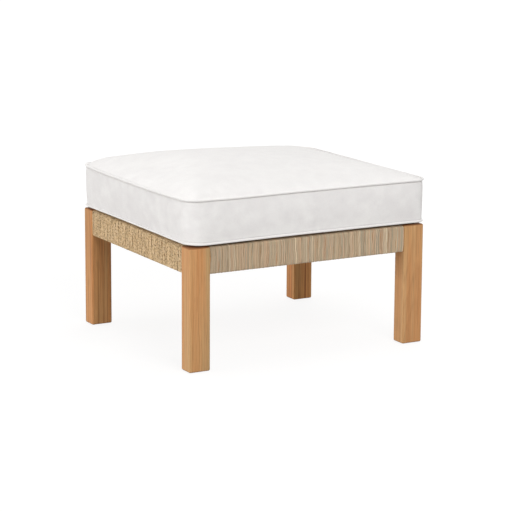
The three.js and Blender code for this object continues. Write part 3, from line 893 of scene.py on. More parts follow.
@dataclass
class Assembly:
    """What every sub-assembly shares: the frame, and how a piece is settled on its body."""

    frame: dict

    def settle(self, piece: Piece, slot: str, *nodes: str) -> Piece:
        """Lets a piece stand for CAD nodes and ride with them.

        Args:
            piece: The finished piece.
            slot: The record's material slot; not used.
            *nodes: The CAD nodes that it stands for, all on one body.

        Returns:
            The piece.
        """
        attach(piece, self.frame["nodes"][nodes[0]]["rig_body"])
        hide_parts(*nodes)
        LOG.info("%s stands for %s, %d corners", piece.name, ", ".join(nodes), len(piece.data.vertices))
        return piece

    def eased(
        self,
        node: str,
        edge: float,
        material: Material,
        chosen: Callable[[bmesh.types.BMEdge], bool] | None = None,
        careful: bool = True,
    ) -> Piece:
        """Copies a CAD node's shape and eases its sharp edges, as sanding does.

        Args:
            node: The CAD node.
            edge: The width of the easing, in metres.
            material: Its finish.
            chosen: Picks the edges to ease, or all sharp ones if left out.
            careful: Whether the easing gets narrower where edges lie close together.

        Returns:
            The new piece, not settled yet.
        """
        mesh = self.frame["nodes"][node].data.copy()
        mesh.materials.clear()
        mesh.materials.append(material)
        shape = bmesh.new()
        shape.from_mesh(mesh)
        for face in shape.faces:
            face.material_index = 0
            face.smooth = True
        bmesh.ops.remove_doubles(shape, verts=shape.verts, dist=WELD)
        bmesh.ops.dissolve_limit(shape, angle_limit=FLAT_ANGLE, verts=shape.verts, edges=shape.edges)
        sharp = [
            e for e in shape.edges
            if len(e.link_faces) == 2 and e.calc_face_angle(0) > SHARP_ANGLE and (not chosen or chosen(e))
        ]
        bmesh.ops.bevel(
            shape, geom=sharp, offset=edge, segments=3, profile=0.5, affect="EDGES", clamp_overlap=careful
        )
        bmesh.ops.remove_doubles(shape, verts=shape.verts, dist=WELD)
        bmesh.ops.triangulate(shape, faces=[f for f in shape.faces if len(f.verts) > 4])
        shape.to_mesh(mesh)
        shape.free()
        for layer in ("custom_normal", "sharp_edge", "sharp_face"):
            if layer in mesh.attributes:
                mesh.attributes.remove(mesh.attributes[layer])
        mesh.set_sharp_from_angle(angle=CREASE_ANGLE)
        piece = placed(f"{node}_finished", mesh)
        normals = piece.modifiers.new("even_normals", "WEIGHTED_NORMAL")
        normals.keep_sharp = True
        return piece

    def kept(self, node: str, slot: str, edge: float, finish: Material) -> Piece:
        """Makes and settles a piece that keeps its CAD node's shape, with eased edges."""
        return self.settle(self.eased(node, edge, finish), slot, node)


@dataclass(frozen=True)
class Leg:
    """Where one leg stands, where it was sawn from the log and how its grain looks."""

    place: str
    pith_aside: tuple[float, float]
    lean: tuple[float, float]
    ring_depth: float
    streak_depth: float
    sapwood: float = 1.0
    tint: Rgba = (1.0, 1.0, 1.0, 1.0)


@dataclass
class Legs(Assembly):
    """The four teak legs and the glides pressed into their feet."""

    end_easing: float = 4.0 * MM
    end_depth: float = 3.0 * MM
    end_reach: float = 0.4
    level_within: float = 0.04 * MM
    glide_easing: float = 0.4 * MM
    seed_step: float = 0.37
    legs: tuple[Leg, ...] = (
        Leg("front_left", (-0.15, 0.06), (0.01, 0.0), 0.2, 0.1, 0.174),
        Leg("front_right", (0.004, 0.062), (0.012, 0.06), 0.3, 0.2, tint=(0.98, 1.05, 1.12, 1.0)),
        Leg("back_left", (-0.12, 0.05), (0.01, 0.01), 0.4, 0.7, tint=(1.05, 1.03, 0.98, 1.0)),
        Leg("back_right", (0.1, -0.09), (-0.01, 0.02), 0.4, 0.8, tint=(1.1, 1.0, 0.84, 1.0)),
    )

    def build(self) -> None:
        """Makes and settles every leg and glide."""
        plastic = Moulded("glide_plastic", tone(58, 52, 46), tone(96, 90, 82)).material()
        for number, leg in enumerate(self.legs):
            self.leg(leg, self.seed_step * number)
            self.kept(f"glide_{leg.place}", "glide_plastic", self.glide_easing, plastic)

    def leg(self, leg: Leg, seed: float) -> None:
        """Makes one leg.

        Args:
            leg: Its place and grain.
            seed: What makes its finer grain differ from the other legs'.
        """
        node = f"leg_{leg.place}"
        low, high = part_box(node)
        middle = (low + high) / 2
        finish = Teak(
            f"teak_{node}",
            Grain.ALONG_Z,
            (middle.x + leg.pith_aside[0], middle.y + leg.pith_aside[1]),
            leg.lean,
            seed,
            ring_depth=leg.ring_depth,
            streak_depth=leg.streak_depth,
            sapwood=leg.sapwood,
            tint=leg.tint,
        )

        def at_end(edge: bmesh.types.BMEdge) -> bool:
            """Says whether an edge runs round the leg's top or foot.

            Args:
                edge: The edge.

            Returns:
                Whether it is level, close to an end and on the leg's outside.
            """
            heights = [v.co.z for v in edge.verts]
            reach = max(max(abs(v.co.x - middle.x), abs(v.co.y - middle.y)) for v in edge.verts)
            level = abs(heights[0] - heights[1]) < self.level_within
            outer = min(abs(heights[0] - low.z), abs(heights[0] - high.z)) < self.end_depth
            return level and outer and reach > (high.y - low.y) * self.end_reach

        piece = self.eased(node, self.end_easing, finish.material(), at_end, careful=False)
        self.settle(piece, "teak", node)


@dataclass
class Deck(Assembly):
    """The slatted deck: two bearers, seven slats and their screws."""

    slats: int = 7
    edge: float = 1.0 * MM
    screw_edge: float = 0.25 * MM
    bearer_pith: tuple[float, float] = (-0.06, 0.03)
    bearer_seeds: tuple[tuple[str, float], ...] = (("left", 0.11), ("right", 0.53))
    slat_pith_aside: float = 30 * MM
    slat_pith_below: tuple[float, float] = (30 * MM, 90 * MM)
    slat_lean: tuple[float, float] = (0.02, 0.05)
    slat_seed_step: float = 0.29

    def build(self) -> None:
        """Makes and settles the bearers, slats and screws."""
        steel = Metal("screw_steel", tone(170, 170, 168), tone(214, 214, 212)).material()
        for side, seed in self.bearer_seeds:
            node = f"bearer_{side}"
            middle = middle_of(node)
            pith = (middle.z + self.bearer_pith[0], middle.x + self.bearer_pith[1])
            finish = Teak(f"teak_{node}", Grain.ALONG_Y, pith, seed=seed)
            self.kept(node, "teak_slat", self.edge, finish.material())
        for number in range(1, self.slats + 1):
            self.slat(number)
            for side in ("left", "right"):
                self.kept(f"screw_{side}_{number}", "steel", self.screw_edge, steel)

    def slat(self, number: int) -> None:
        """Makes one slat.

        Args:
            number: Its number from the front.
        """
        node = f"slat_{number}"
        middle = middle_of(node)
        dice = random.Random(number)
        aside = dice.uniform(-self.slat_pith_aside, self.slat_pith_aside)
        pith = (middle.y + aside, middle.z - dice.uniform(*self.slat_pith_below))
        lean = tuple(dice.uniform(-most, most) for most in self.slat_lean)
        finish = Teak(f"teak_{node}", Grain.ALONG_X, pith, lean, self.slat_seed_step * number)
        self.kept(node, "teak_slat", self.edge, finish.material())


class Loop:
    """The line that the cord follows round a rail's section, from mid height inside and down first."""

    def __init__(self, half_out: float, half_up: float, corner: float) -> None:
        """Works the line out.

        Args:
            half_out: Half the section's width, from inside to outside.
            half_up: Half its height.
            corner: The radius of its corners.
        """
        arc = np.radians(np.linspace(0, 90, 7))
        straight_out, straight_up = half_out - corner, half_up - corner
        points, normals = [(-half_out, 0.0)], [(-1.0, 0.0)]
        centres = [(-1, -1, 180), (1, -1, 270), (1, 1, 0), (-1, 1, 90)]
        for sign_out, sign_up, start in centres:
            for angle in arc + math.radians(start):
                out, up = math.cos(angle), math.sin(angle)
                points.append((sign_out * straight_out + corner * out, sign_up * straight_up + corner * up))
                normals.append((out, up))
        points.append(points[0])
        normals.append(normals[0])
        self.points, self.normals = np.array(points), np.array(normals)
        steps = np.linalg.norm(np.diff(self.points, axis=0), axis=1)
        self.along = np.concatenate([[0], np.cumsum(steps)])
        self.length = float(self.along[-1])
        self.hidden = half_up - corner

    def at(self, distance: np.ndarray) -> tuple[np.ndarray, np.ndarray]:
        """Reads the line.

        Args:
            distance: How far along it, any number of times round.

        Returns:
            The points and the outward directions, each as (out, up).
        """
        d = np.mod(distance, self.length)
        points, normals = (
            np.stack([np.interp(d, self.along, line[:, i]) for i in range(2)], axis=1)
            for line in (self.points, self.normals)
        )
        return points, normals / np.linalg.norm(normals, axis=1)[:, None]

    def turns(self, distance: np.ndarray) -> np.ndarray:
        """Counts the turns, with every step to the next one made on the hidden inner face.

        Args:
            distance: How far along the line.

        Returns:
            The number of pitches that the cord has moved sideways.
        """
        whole = np.floor(distance / self.length)
        d = distance - whole * self.length
        down = np.clip(d / self.hidden, 0, 1)
        up = np.clip((d - self.length + self.hidden) / self.hidden, 0, 1)
        return whole + 0.5 * down + 0.5 * up


class Side(Enum):
    """The four wound rails, each with its outward and its sideways direction."""

    FRONT = ("front", (0, -1, 0), (1, 0, 0))
    BACK = ("back", (0, 1, 0), (-1, 0, 0))
    LEFT = ("left", (-1, 0, 0), (0, -1, 0))
    RIGHT = ("right", (1, 0, 0), (0, 1, 0))

    @property
    def label(self) -> str:
        """The side's name."""
        return self.value[0]

    @property
    def outward(self) -> np.ndarray:
        """The direction away from the middle."""
        return np.array(self.value[1], float)

    @property
    def sideways(self) -> np.ndarray:
        """The direction along the rail."""
        return np.array(self.value[2], float)


class Strands:
    """Swept strands, gathered into one mesh."""

    def __init__(self) -> None:
        """Starts with none."""
        self.points: list[np.ndarray] = []
        self.faces: list[Sequence[int]] = []
        self.uv: list[np.ndarray] = []
        self.values: dict[str, list[np.ndarray]] = {}
        self.used = 0

    def add(self, points: np.ndarray, corners: int, uv: Sequence[np.ndarray], **values: np.ndarray) -> None:
        """Adds a strand, closed at both ends.

        Args:
            points: Its corners, section by section.
            corners: How many corners a section has.
            uv: Each corner's place across the cord, and along it.
            **values: What each corner carries, by name.
        """
        last = self.used + len(points) - corners
        self.faces.extend(net(len(points) // corners, corners) + self.used)
        self.faces.append(range(self.used, self.used + corners))
        self.faces.append(range(last + corners - 1, last - 1, -1))
        self.points.append(points)
        self.uv.append(np.stack(uv, axis=1))
        for name, value in values.items():
            self.values.setdefault(name, []).append(value)
        self.used += len(points)

    def piece(self, name: str, material: Material) -> Piece:
        """Makes the piece, with what its corners carry.

        Args:
            name: The piece's name.
            material: Its finish.

        Returns:
            The piece, not settled yet.
        """
        piece = new_piece(name, np.concatenate(self.points), self.faces, material)
        mesh = piece.data
        for carried, parts in self.values.items():
            carry(mesh, carried, np.concatenate(parts))
        layer = mesh.uv_layers.new(name="cord")
        corner = np.zeros(len(mesh.loops), np.int32)
        mesh.loops.foreach_get("vertex_index", corner)
        layer.data.foreach_set("uv", np.concatenate(self.uv)[corner].astype(np.float32).ravel())
        return piece


@dataclass
class WoundRail(Assembly):
    """One rail: its wooden core, and the cord wound round it."""

    side: Side = Side.FRONT
    slot: str = ""
    cord: type[Finish] = Finish
    core_gap: float = 0.3 * MM
    corner: float = 3.4 * MM
    edge: float = 0.8 * MM
    pith_aside: float = 50 * MM
    grain_seed: float = 0.7
    grain_seed_step: float = 0.1
    seed: int = 1

    def build(self) -> None:
        """Makes and settles the core and the winding."""
        label = self.side.label
        grain = Grain.ALONG_X if self.side in (Side.FRONT, Side.BACK) else Grain.ALONG_Y
        middle = middle_of(f"rail_{label}")
        cross = (middle.y, middle.z) if grain is Grain.ALONG_X else (middle.z, middle.x)
        pith = (cross[0] + self.pith_aside, cross[1] - self.pith_aside)
        grain_seed = self.grain_seed + self.grain_seed_step * self.seed
        finish = Teak(f"teak_rail_{label}", grain, pith, seed=grain_seed)
        self.kept(f"rail_{label}", "teak_core", self.edge, finish.material())
        strands = self.wind()
        piece = strands.piece(f"winding_{label}", self.cord(f"{self.slot}_{label}").material())
        self.settle(piece, self.slot, f"wrap_{label}")

    def wind(self) -> Strands:
        """Winds the strands round the core; each kind of cord has its own way."""
        raise NotImplementedError

    def spool(self) -> tuple[Loop, np.ndarray, float, float]:
        """Works out what the cord is wound on.

        Returns:
            The line round the section, the winding's near end, its length and its thickness.
        """
        low, high = (np.array(v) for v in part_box(f"wrap_{self.side.label}"))
        core_low, core_high = (np.array(v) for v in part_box(f"rail_{self.side.label}"))
        middle = (low + high) / 2
        half = (high - low) / 2
        half_out = float(abs(half @ self.side.outward))
        length = 2 * float(abs(half @ self.side.sideways))
        thickness = half_out - float(abs((core_high - core_low) @ self.side.outward)) / 2 - self.core_gap
        loop = Loop(half_out - thickness, float(half[2]) - thickness, self.corner)
        start = middle - self.side.sideways * length / 2
        return loop, start, length, thickness

    def sweep(
        self, loop: Loop, start: np.ndarray, distance: np.ndarray, across: np.ndarray, rise: np.ndarray
    ) -> np.ndarray:
        """Places a cord's section along the loop.

        Args:
            loop: The line that the cord follows.
            start: The winding's near end.
            distance: How far along the loop each section is.
            across: Each corner's place along the rail, one row a section.
            rise: Each corner's height over the loop, one row a section.

        Returns:
            The corners in the shared frame, section by section.
        """
        points, normals = loop.at(distance)
        out = points[:, 0:1] + normals[:, 0:1] * rise
        up = points[:, 1:2] + normals[:, 1:2] * rise
        swept = (
            start[None, None, :]
            + out[:, :, None] * self.side.outward
            + across[:, :, None] * self.side.sideways
            + up[:, :, None] * np.array([0.0, 0.0, 1.0])
        )
        return swept.reshape(-1, 3)


@dataclass
class SmoothRail(WoundRail):
    """A rail wound with a flat bundle of smooth strands."""

    slot: str = "smooth_cord"
    cord: type[Finish] = SmoothCord
    turns: int = 24
    strands: int = 10
    sway: float = 1.0 * MM
    sways_share: Stops = ((2.13, 1.0), (4.86, 0.5))
    bundle_gap: float = 0.5 * MM
    line: float = 0.16 * MM
    longest_step: float = 13 * MM
    profile_across: tuple[float, ...] = (1.0, 0.84, 0.34, -0.34, -0.84, -1.0)
    profile_rise: tuple[float, ...] = (0.0, 0.74, 1.0, 1.0, 0.74, 0.0)
    height_loss: float = 0.16
    height_rounds: float = 0.8
    least_height: float = 0.82
    bundle_light_share: float = 0.3
    bundle_hue_share: float = 0.22
    width_waves: Stops = ((0.42, 0.9), (0.16, 0.16))
    least_width: float = 0.35

    def wind(self) -> Strands:
        """Winds the strands side by side, each with its own width, height and tone.

        Returns:
            The strands.
        """
        loop, start, length, thickness = self.spool()
        dice = np.random.default_rng(self.seed)
        once = self.stations(loop)
        distance = (np.arange(self.turns)[:, None] * loop.length + once[None, :]).ravel()
        distance = np.append(distance, self.turns * loop.length)
        turn = np.minimum((distance / loop.length).astype(int), self.turns - 1)
        pitch = length / self.turns
        bases = loop.turns(distance) * pitch + self.swaying(dice, distance / loop.length)
        usable = pitch - self.bundle_gap
        edges = self.edges_of(dice, distance, loop.length, usable)
        bundle_light = dice.uniform(0, 1, self.turns)
        bundle_hue = dice.uniform(0, 1, self.turns)
        profile_across, profile_rise = np.array(self.profile_across), np.array(self.profile_rise)
        corners = len(profile_across)
        strands = Strands()
        for strand in range(self.strands):
            near = bases + edges[strand] + self.line / 2 - usable / 2
            far = bases + edges[strand + 1] - self.line / 2 - usable / 2
            middle, half = (near + far) / 2, (far - near) / 2
            apart = self.line * (strand + 1) / self.strands
            middle = np.clip(middle, half + apart, length - half - apart)
            lost = 1 - wander(dice, distance, loop.length * self.height_rounds)
            own = dice.uniform(self.least_height, 1.0, self.turns)[turn]
            height = thickness * (1 - self.height_loss * lost) * own
            across = middle[:, None] + half[:, None] * profile_across
            points = self.sweep(loop, start, distance, across, height[:, None] * profile_rise)
            light, hue = (
                share * bundle[turn] + (1 - share) * dice.uniform(0, 1, self.turns)[turn]
                for share, bundle in (
                    (self.bundle_light_share, bundle_light),
                    (self.bundle_hue_share, bundle_hue),
                )
            )
            widths = half[:, None] * (profile_across + 1) + strand * pitch
            strands.add(
                points,
                corners,
                (widths.ravel(), np.repeat(distance, corners)),
                light=np.repeat(light, corners),
                hue=np.repeat(hue, corners),
            )
        return strands

    def swaying(self, dice: np.random.Generator, rounds: np.ndarray) -> np.ndarray:
        """Works out how far the bundles sway sideways, with neighbouring turns nearly in step.

        Args:
            dice: The seeded random source.
            rounds: How many times each section has gone round the rail.

        Returns:
            The shift at each section.
        """
        shift = np.zeros(len(rounds))
        for waves, share in self.sways_share:
            shift += share * np.sin(2 * math.pi * (waves * rounds + dice.uniform()))
        return self.sway * shift

    def stations(self, loop: Loop) -> np.ndarray:
        """Works out where a strand's sections lie in one turn: round the corners, and along the faces.

        Args:
            loop: The line that the cord follows.

        Returns:
            How far along the line each section is.
        """
        places: list[float] = []
        for near, far in zip(loop.along[:-1], loop.along[1:]):
            steps = max(1, math.ceil((far - near) / self.longest_step))
            places.extend(near + (far - near) * i / steps for i in range(steps))
        return np.array(places)

    def edges_of(
        self, dice: np.random.Generator, distance: np.ndarray, round_once: float, usable: float
    ) -> np.ndarray:
        """Draws the lines between the strands of a bundle.

        Args:
            dice: The seeded random source.
            distance: How far along the loop each section is.
            round_once: The loop's length.
            usable: The bundle's width.

        Returns:
            One row for each line, in metres from the bundle's near side.
        """
        def width() -> np.ndarray:
            """Draws how wide one strand is at each section, as a share of the average."""
            waves = (size * wander(dice, distance, round_once * every) for size, every in self.width_waves)
            return 1.0 + sum(waves)

        weights = np.maximum(np.stack([width() for _ in range(self.strands)]), self.least_width)
        lines = np.concatenate([np.zeros((1, len(distance))), np.cumsum(weights, axis=0)])
        return lines / lines[-1] * usable


@dataclass
class TwistedRail(WoundRail):
    """A rail wound with crinkled cord of two plies twisted together, pulled flat."""

    slot: str = "twisted_cord"
    cord: type[Finish] = TwistedCord
    turns: int = 62
    twist: float = 16 * MM
    step: float = 2.1 * MM
    ply_sides: int = 6
    ply_half: float = 0.34
    ply_rise: float = 0.36
    ply_apart: float = 0.27
    ply_lift: float = 0.2
    jitter: float = 0.2
    jitter_rounds: float = 0.13
    swell: float = 0.12
    swell_spacing: float = 9 * MM
    crinkle_across: float = 0.14 * MM
    crinkle_up: float = 0.16 * MM
    light_waves: float = 0.3
    light_spacing: float = 24 * MM
    light_steps: float = 0.2
    crest_rise: tuple[float, float] = (0.15, 0.75)
    side_width: float = 1.1 * MM
    ply_shift: float = 50 * MM
    uneven_twist: float = 0.6
    uneven_spacing: float = 30 * MM

    def wind(self) -> Strands:
        """Winds two plies that cross each other all the way.

        Returns:
            The plies, each as one strand.
        """
        loop, start, length, thickness = self.spool()
        dice = np.random.default_rng(self.seed)
        pitch = length / self.turns
        total = self.turns * loop.length
        distance = np.linspace(0, total, int(total / self.step))
        turn = np.minimum((distance / loop.length).astype(int), self.turns - 1)
        spin = self.spin_of(dice, distance, turn)
        jitter = self.jitter * pitch * wander(dice, distance, loop.length * self.jitter_rounds)
        middle = loop.turns(distance) * pitch + jitter
        sides = np.arange(self.ply_sides)
        angles = sides * 2 * math.pi / self.ply_sides
        strands = Strands()
        for ply in range(2):
            phase = spin + math.pi * ply
            crinkle = dice.uniform(-1, 1, (len(distance), self.ply_sides))
            swell = 1 + self.swell * wander(dice, distance, self.swell_spacing)
            centre = middle + pitch * self.ply_apart * np.cos(phase)
            lift = thickness * (0.5 + self.ply_lift * np.sin(phase))
            half, high = pitch * self.ply_half * swell, thickness * self.ply_rise * swell
            across = centre[:, None] + half[:, None] * np.cos(angles) + self.crinkle_across * crinkle
            rise = lift[:, None] + high[:, None] * np.sin(angles) + self.crinkle_up * crinkle
            rise = np.maximum(rise, 0)
            points = self.sweep(loop, start, distance, np.clip(across, 0, length), rise)
            light = 0.5 + self.light_waves * wander(dice, distance, self.light_spacing)
            light += dice.uniform(-self.light_steps, self.light_steps, self.turns)[turn]
            girth = np.tile(sides * self.side_width + ply * self.ply_shift, len(distance))
            # crest is each corner's height on the cord, which paints a highlight on the crests and shade in
            # the valleys.
            strands.add(
                points,
                self.ply_sides,
                (girth, np.repeat(distance, self.ply_sides)),
                light=np.repeat(light, self.ply_sides),
                crest=soft_step(*self.crest_rise, rise / thickness).ravel(),
            )
        return strands

    def spin_of(self, dice: np.random.Generator, distance: np.ndarray, turn: np.ndarray) -> np.ndarray:
        """Works out how far the plies have twisted, unevenly, with neighbouring turns twisted opposite ways.

        Args:
            dice: The seeded random source.
            distance: How far along the cord each section is.
            turn: The turn that each section is in.

        Returns:
            The angle at each section.
        """
        hand = np.where(turn % 2 == 0, 1.0, -1.0)
        uneven = 1 + self.uneven_twist * wander(dice, distance, self.uneven_spacing)
        rate = hand * uneven * 2 * math.pi / self.twist
        steps = np.diff(distance, prepend=distance[0])
        return np.cumsum(rate * steps)


@dataclass(frozen=True)
class Lamp:
    """One large soft lamp that shines at the object."""

    name: str
    place: tuple[float, float, float]
    width: float
    height: float
    energy: float


@dataclass
class Studio:
    """The plain pale floor, the soft lamps and the camera at the photograph's angle."""

    floor_reach: float = 30.0
    floor_colour: Rgba = tone(196, 195, 194)
    floor_pale: Rgba = tone(212, 212, 212)
    floor_scale: float = 3.0
    floor_mottling: float = 0.1
    glow_reach: tuple[float, float] = (0.04, 0.16)
    near_glow: float = 0.7
    far_glow: float = 0.84
    glow: float = 1.25
    sky: float = 0.39
    lamps: tuple[Lamp, ...] = (
        Lamp("overhead_lamp", (0.2, 0.3, 3.5), 3.0, 3.0, 39.0),
        Lamp("left_lamp", (-13.6, 3.4, 1.1), 10.0, 2.1, 1000.0),
        Lamp("front_lamp", (-0.45, -3.5, 2.3), 2.2, 2.2, 76.0),
        Lamp("back_lamp", (2.4, 3.2, 1.8), 2.2, 1.6, 26.0),
    )
    camera_place: tuple[float, float, float] = (-2.92323, -5.23848, 1.51211)
    camera_target: tuple[float, float, float] = (0.01177, -0.00660, 0.21143)
    camera_roll: float = 0.325
    lens: float = 159.62
    sensor: float = 36.0
    clip: tuple[float, float] = (0.1, 100.0)

    def build(self) -> None:
        """Makes the floor, the sky, the lamps and the camera."""
        self.floor()
        self.world()
        for lamp in self.lamps:
            self.hang(lamp)
        self.camera()
        bpy.context.scene.view_settings.view_transform = "Standard"
        LOG.info("studio is set")

    @staticmethod
    def seen(tree: Tree) -> Socket:
        """Tells the rays from the camera, and those that gloss and glass reflect or pass, from all others.

        Args:
            tree: The material's or the sky's node tree.

        Returns:
            1 for those rays, and 0 for the others.
        """
        path = tree.nodes.new("ShaderNodeLightPath")
        seen = path.outputs["Is Camera Ray"]
        for kind in ("Is Glossy Ray", "Is Transmission Ray"):
            either = tree.nodes.new("ShaderNodeMath")
            either.operation = "MAXIMUM"
            tree.links.new(seen, either.inputs[0])
            tree.links.new(path.outputs[kind], either.inputs[1])
            seen = either.outputs[0]
        return seen

    @staticmethod
    def blend(tree: Tree, share: Socket, first: bpy.types.Node, second: bpy.types.Node, into: Socket) -> None:
        """Mixes what two nodes give into an output.

        Args:
            tree: Their tree.
            share: The second one's share.
            first: The first node.
            second: The second node.
            into: The socket that takes the mixture.
        """
        mixed = tree.nodes.new("ShaderNodeMixShader")
        for socket, value in zip(mixed.inputs, (share, first.outputs[0], second.outputs[0])):
            tree.links.new(value, socket)
        tree.links.new(mixed.outputs[0], into)

    def floor(self) -> None:
        """Makes a wide floor that looks white and keeps the object's shadow."""
        s = Shader("studio_floor")
        s.tree.nodes.remove(s.surface)
        grain = s.noise(s.place(), self.floor_scale, 2)
        matte = s.new("BsdfDiffuse")
        mottling = s.rise(grain, 0.3, 0.7, 0.0, self.floor_mottling)
        colour = s.mix(mottling, self.floor_colour, self.floor_pale)
        s.feed(matte.inputs["Color"], colour)
        glow = s.new("Emission")
        glow.inputs["Strength"].default_value = self.glow
        away = s.vector_math("LENGTH", s.place()).outputs["Value"]
        far = s.math("DIVIDE", away, self.floor_reach)
        share = s.rise(far, *self.glow_reach, self.near_glow, self.far_glow)
        glowing = s.math("MULTIPLY", self.seen(s.tree), share)
        self.blend(s.tree, glowing, matte, glow, s.output.inputs["Surface"])
        r = self.floor_reach
        corners = np.array([(-r, -r, 0), (r, -r, 0), (r, r, 0), (-r, r, 0)], float)
        new_piece("studio_floor", corners, [(0, 1, 2, 3)], s.material)

    def world(self) -> None:
        """Makes an even sky that looks white behind the object."""
        world = bpy.data.worlds.new("studio_sky")
        bpy.context.scene.world = world
        world.use_nodes = True
        tree = world.node_tree
        tree.nodes.clear()
        light, white = (tree.nodes.new("ShaderNodeBackground") for _ in range(2))
        light.inputs["Strength"].default_value = self.sky
        for node in (light, white):
            node.inputs["Color"].default_value = (1, 1, 1, 1)
        output = tree.nodes.new("ShaderNodeOutputWorld")
        self.blend(tree, self.seen(tree), light, white, output.inputs[0])

    def hang(self, lamp: Lamp) -> None:
        """Hangs one lamp, turned towards the object.

        Args:
            lamp: Its place, size and strength.
        """
        data = bpy.data.lights.new(lamp.name, "AREA")
        data.shape = "RECTANGLE"
        data.size = lamp.width
        data.size_y = lamp.height
        data.energy = lamp.energy
        hung = placed(lamp.name, data)
        hung.location = lamp.place
        aim = Vector(self.camera_target) - Vector(lamp.place)
        hung.rotation_mode = "QUATERNION"
        hung.rotation_quaternion = aim.to_track_quat("-Z", "Y")

    def camera(self) -> None:
        """Stands the camera where the photograph was taken from."""
        data = bpy.data.cameras.new("camera")
        data.lens = self.lens
        data.sensor_width = self.sensor
        data.clip_start, data.clip_end = self.clip
        camera = placed("camera", data)
        place, target = Vector(self.camera_place), Vector(self.camera_target)
        back = (place - target).normalized()
        right = Vector((0, 0, 1)).cross(back).normalized()
        up = back.cross(right)
        roll = math.radians(self.camera_roll)
        level = right * math.cos(roll) + up * math.sin(roll)
        upright = up * math.cos(roll) - right * math.sin(roll)
        turn = Matrix((level, upright, back)).transposed().to_4x4()
        camera.matrix_world = Matrix.Translation(place) @ turn
        bpy.context.scene.camera = camera


@dataclass(frozen=True)
class Plan:
    """The cushion's plan at one height: round corners, with sides drawn in between them.

    Corners run anticlockwise from the back right, and sides from the back: back, left, front, right.
    """

    half_x: float
    half_y: float
    radii: tuple[float, ...]
    drawn: tuple[float, ...]
    arc_steps: int = 10
    side_steps: int = 66
    roundest: float = 0.98

    def grown(self, out: float) -> "Plan":
        """Returns the plan a given distance further out."""
        radii = tuple(r + out for r in self.radii)
        return replace(self, half_x=self.half_x + out, half_y=self.half_y + out, radii=radii)

    def finer(self, arc_steps: int, side_steps: int) -> "Plan":
        """Returns the plan with other numbers of steps round each corner and along each side."""
        return replace(self, arc_steps=arc_steps, side_steps=side_steps)

    def towards(self, other: "Plan", share: float) -> "Plan":
        """Returns a plan between this one and another.

        Args:
            other: The other plan.
            share: How far towards it, from 0 to 1.

        Returns:
            The plan between them.
        """
        def between(a: float, b: float) -> float:
            """Returns the size between two."""
            return a + (b - a) * share

        return replace(
            self,
            half_x=between(self.half_x, other.half_x),
            half_y=between(self.half_y, other.half_y),
            radii=tuple(between(a, b) for a, b in zip(self.radii, other.radii)),
            drawn=tuple(between(a, b) for a, b in zip(self.drawn, other.drawn)),
        )

    def shrunk(self, share: float, rounding: float) -> "Plan":
        """Returns a smaller plan, with corners that get rounder as it shrinks.

        Args:
            share: Its size as a share of this one's.
            rounding: How fast the corners' radius grows.

        Returns:
            The smaller plan.
        """
        roundest = self.roundest * share * min(self.half_x, self.half_y)
        grown = rounding * (1 - share) * self.half_y
        return replace(
            self,
            half_x=self.half_x * share,
            half_y=self.half_y * share,
            radii=tuple(min(r * share + grown, roundest) for r in self.radii),
            drawn=tuple(d * share for d in self.drawn),
        )

    def line(self) -> np.ndarray:
        """Draws the plan.

        Returns:
            Its points anticlockwise from the right, each as (x, y).
        """
        signs = [(1, 1), (-1, 1), (-1, -1), (1, -1)]
        points = []
        for corner, (sx, sy) in enumerate(signs):
            radius = self.radii[corner]
            centre = (sx * (self.half_x - radius), sy * (self.half_y - radius))
            for i in range(self.arc_steps + 1):
                angle = (corner + i / self.arc_steps) * math.pi / 2
                points.append((centre[0] + radius * math.cos(angle), centre[1] + radius * math.sin(angle)))
            following = (corner + 1) % 4
            tx, ty = signs[following]
            end = (tx * (self.half_x - self.radii[following]), ty * (self.half_y - self.radii[following]))
            for i in range(1, self.side_steps):
                t = i / self.side_steps
                hollow = self.drawn[corner] * 4 * t * (1 - t)
                if corner % 2 == 0:
                    points.append((centre[0] + (end[0] - centre[0]) * t, sy * (self.half_y - hollow)))
                else:
                    points.append((sx * (self.half_x - hollow), centre[1] + (end[1] - centre[1]) * t))
        return np.array(points)


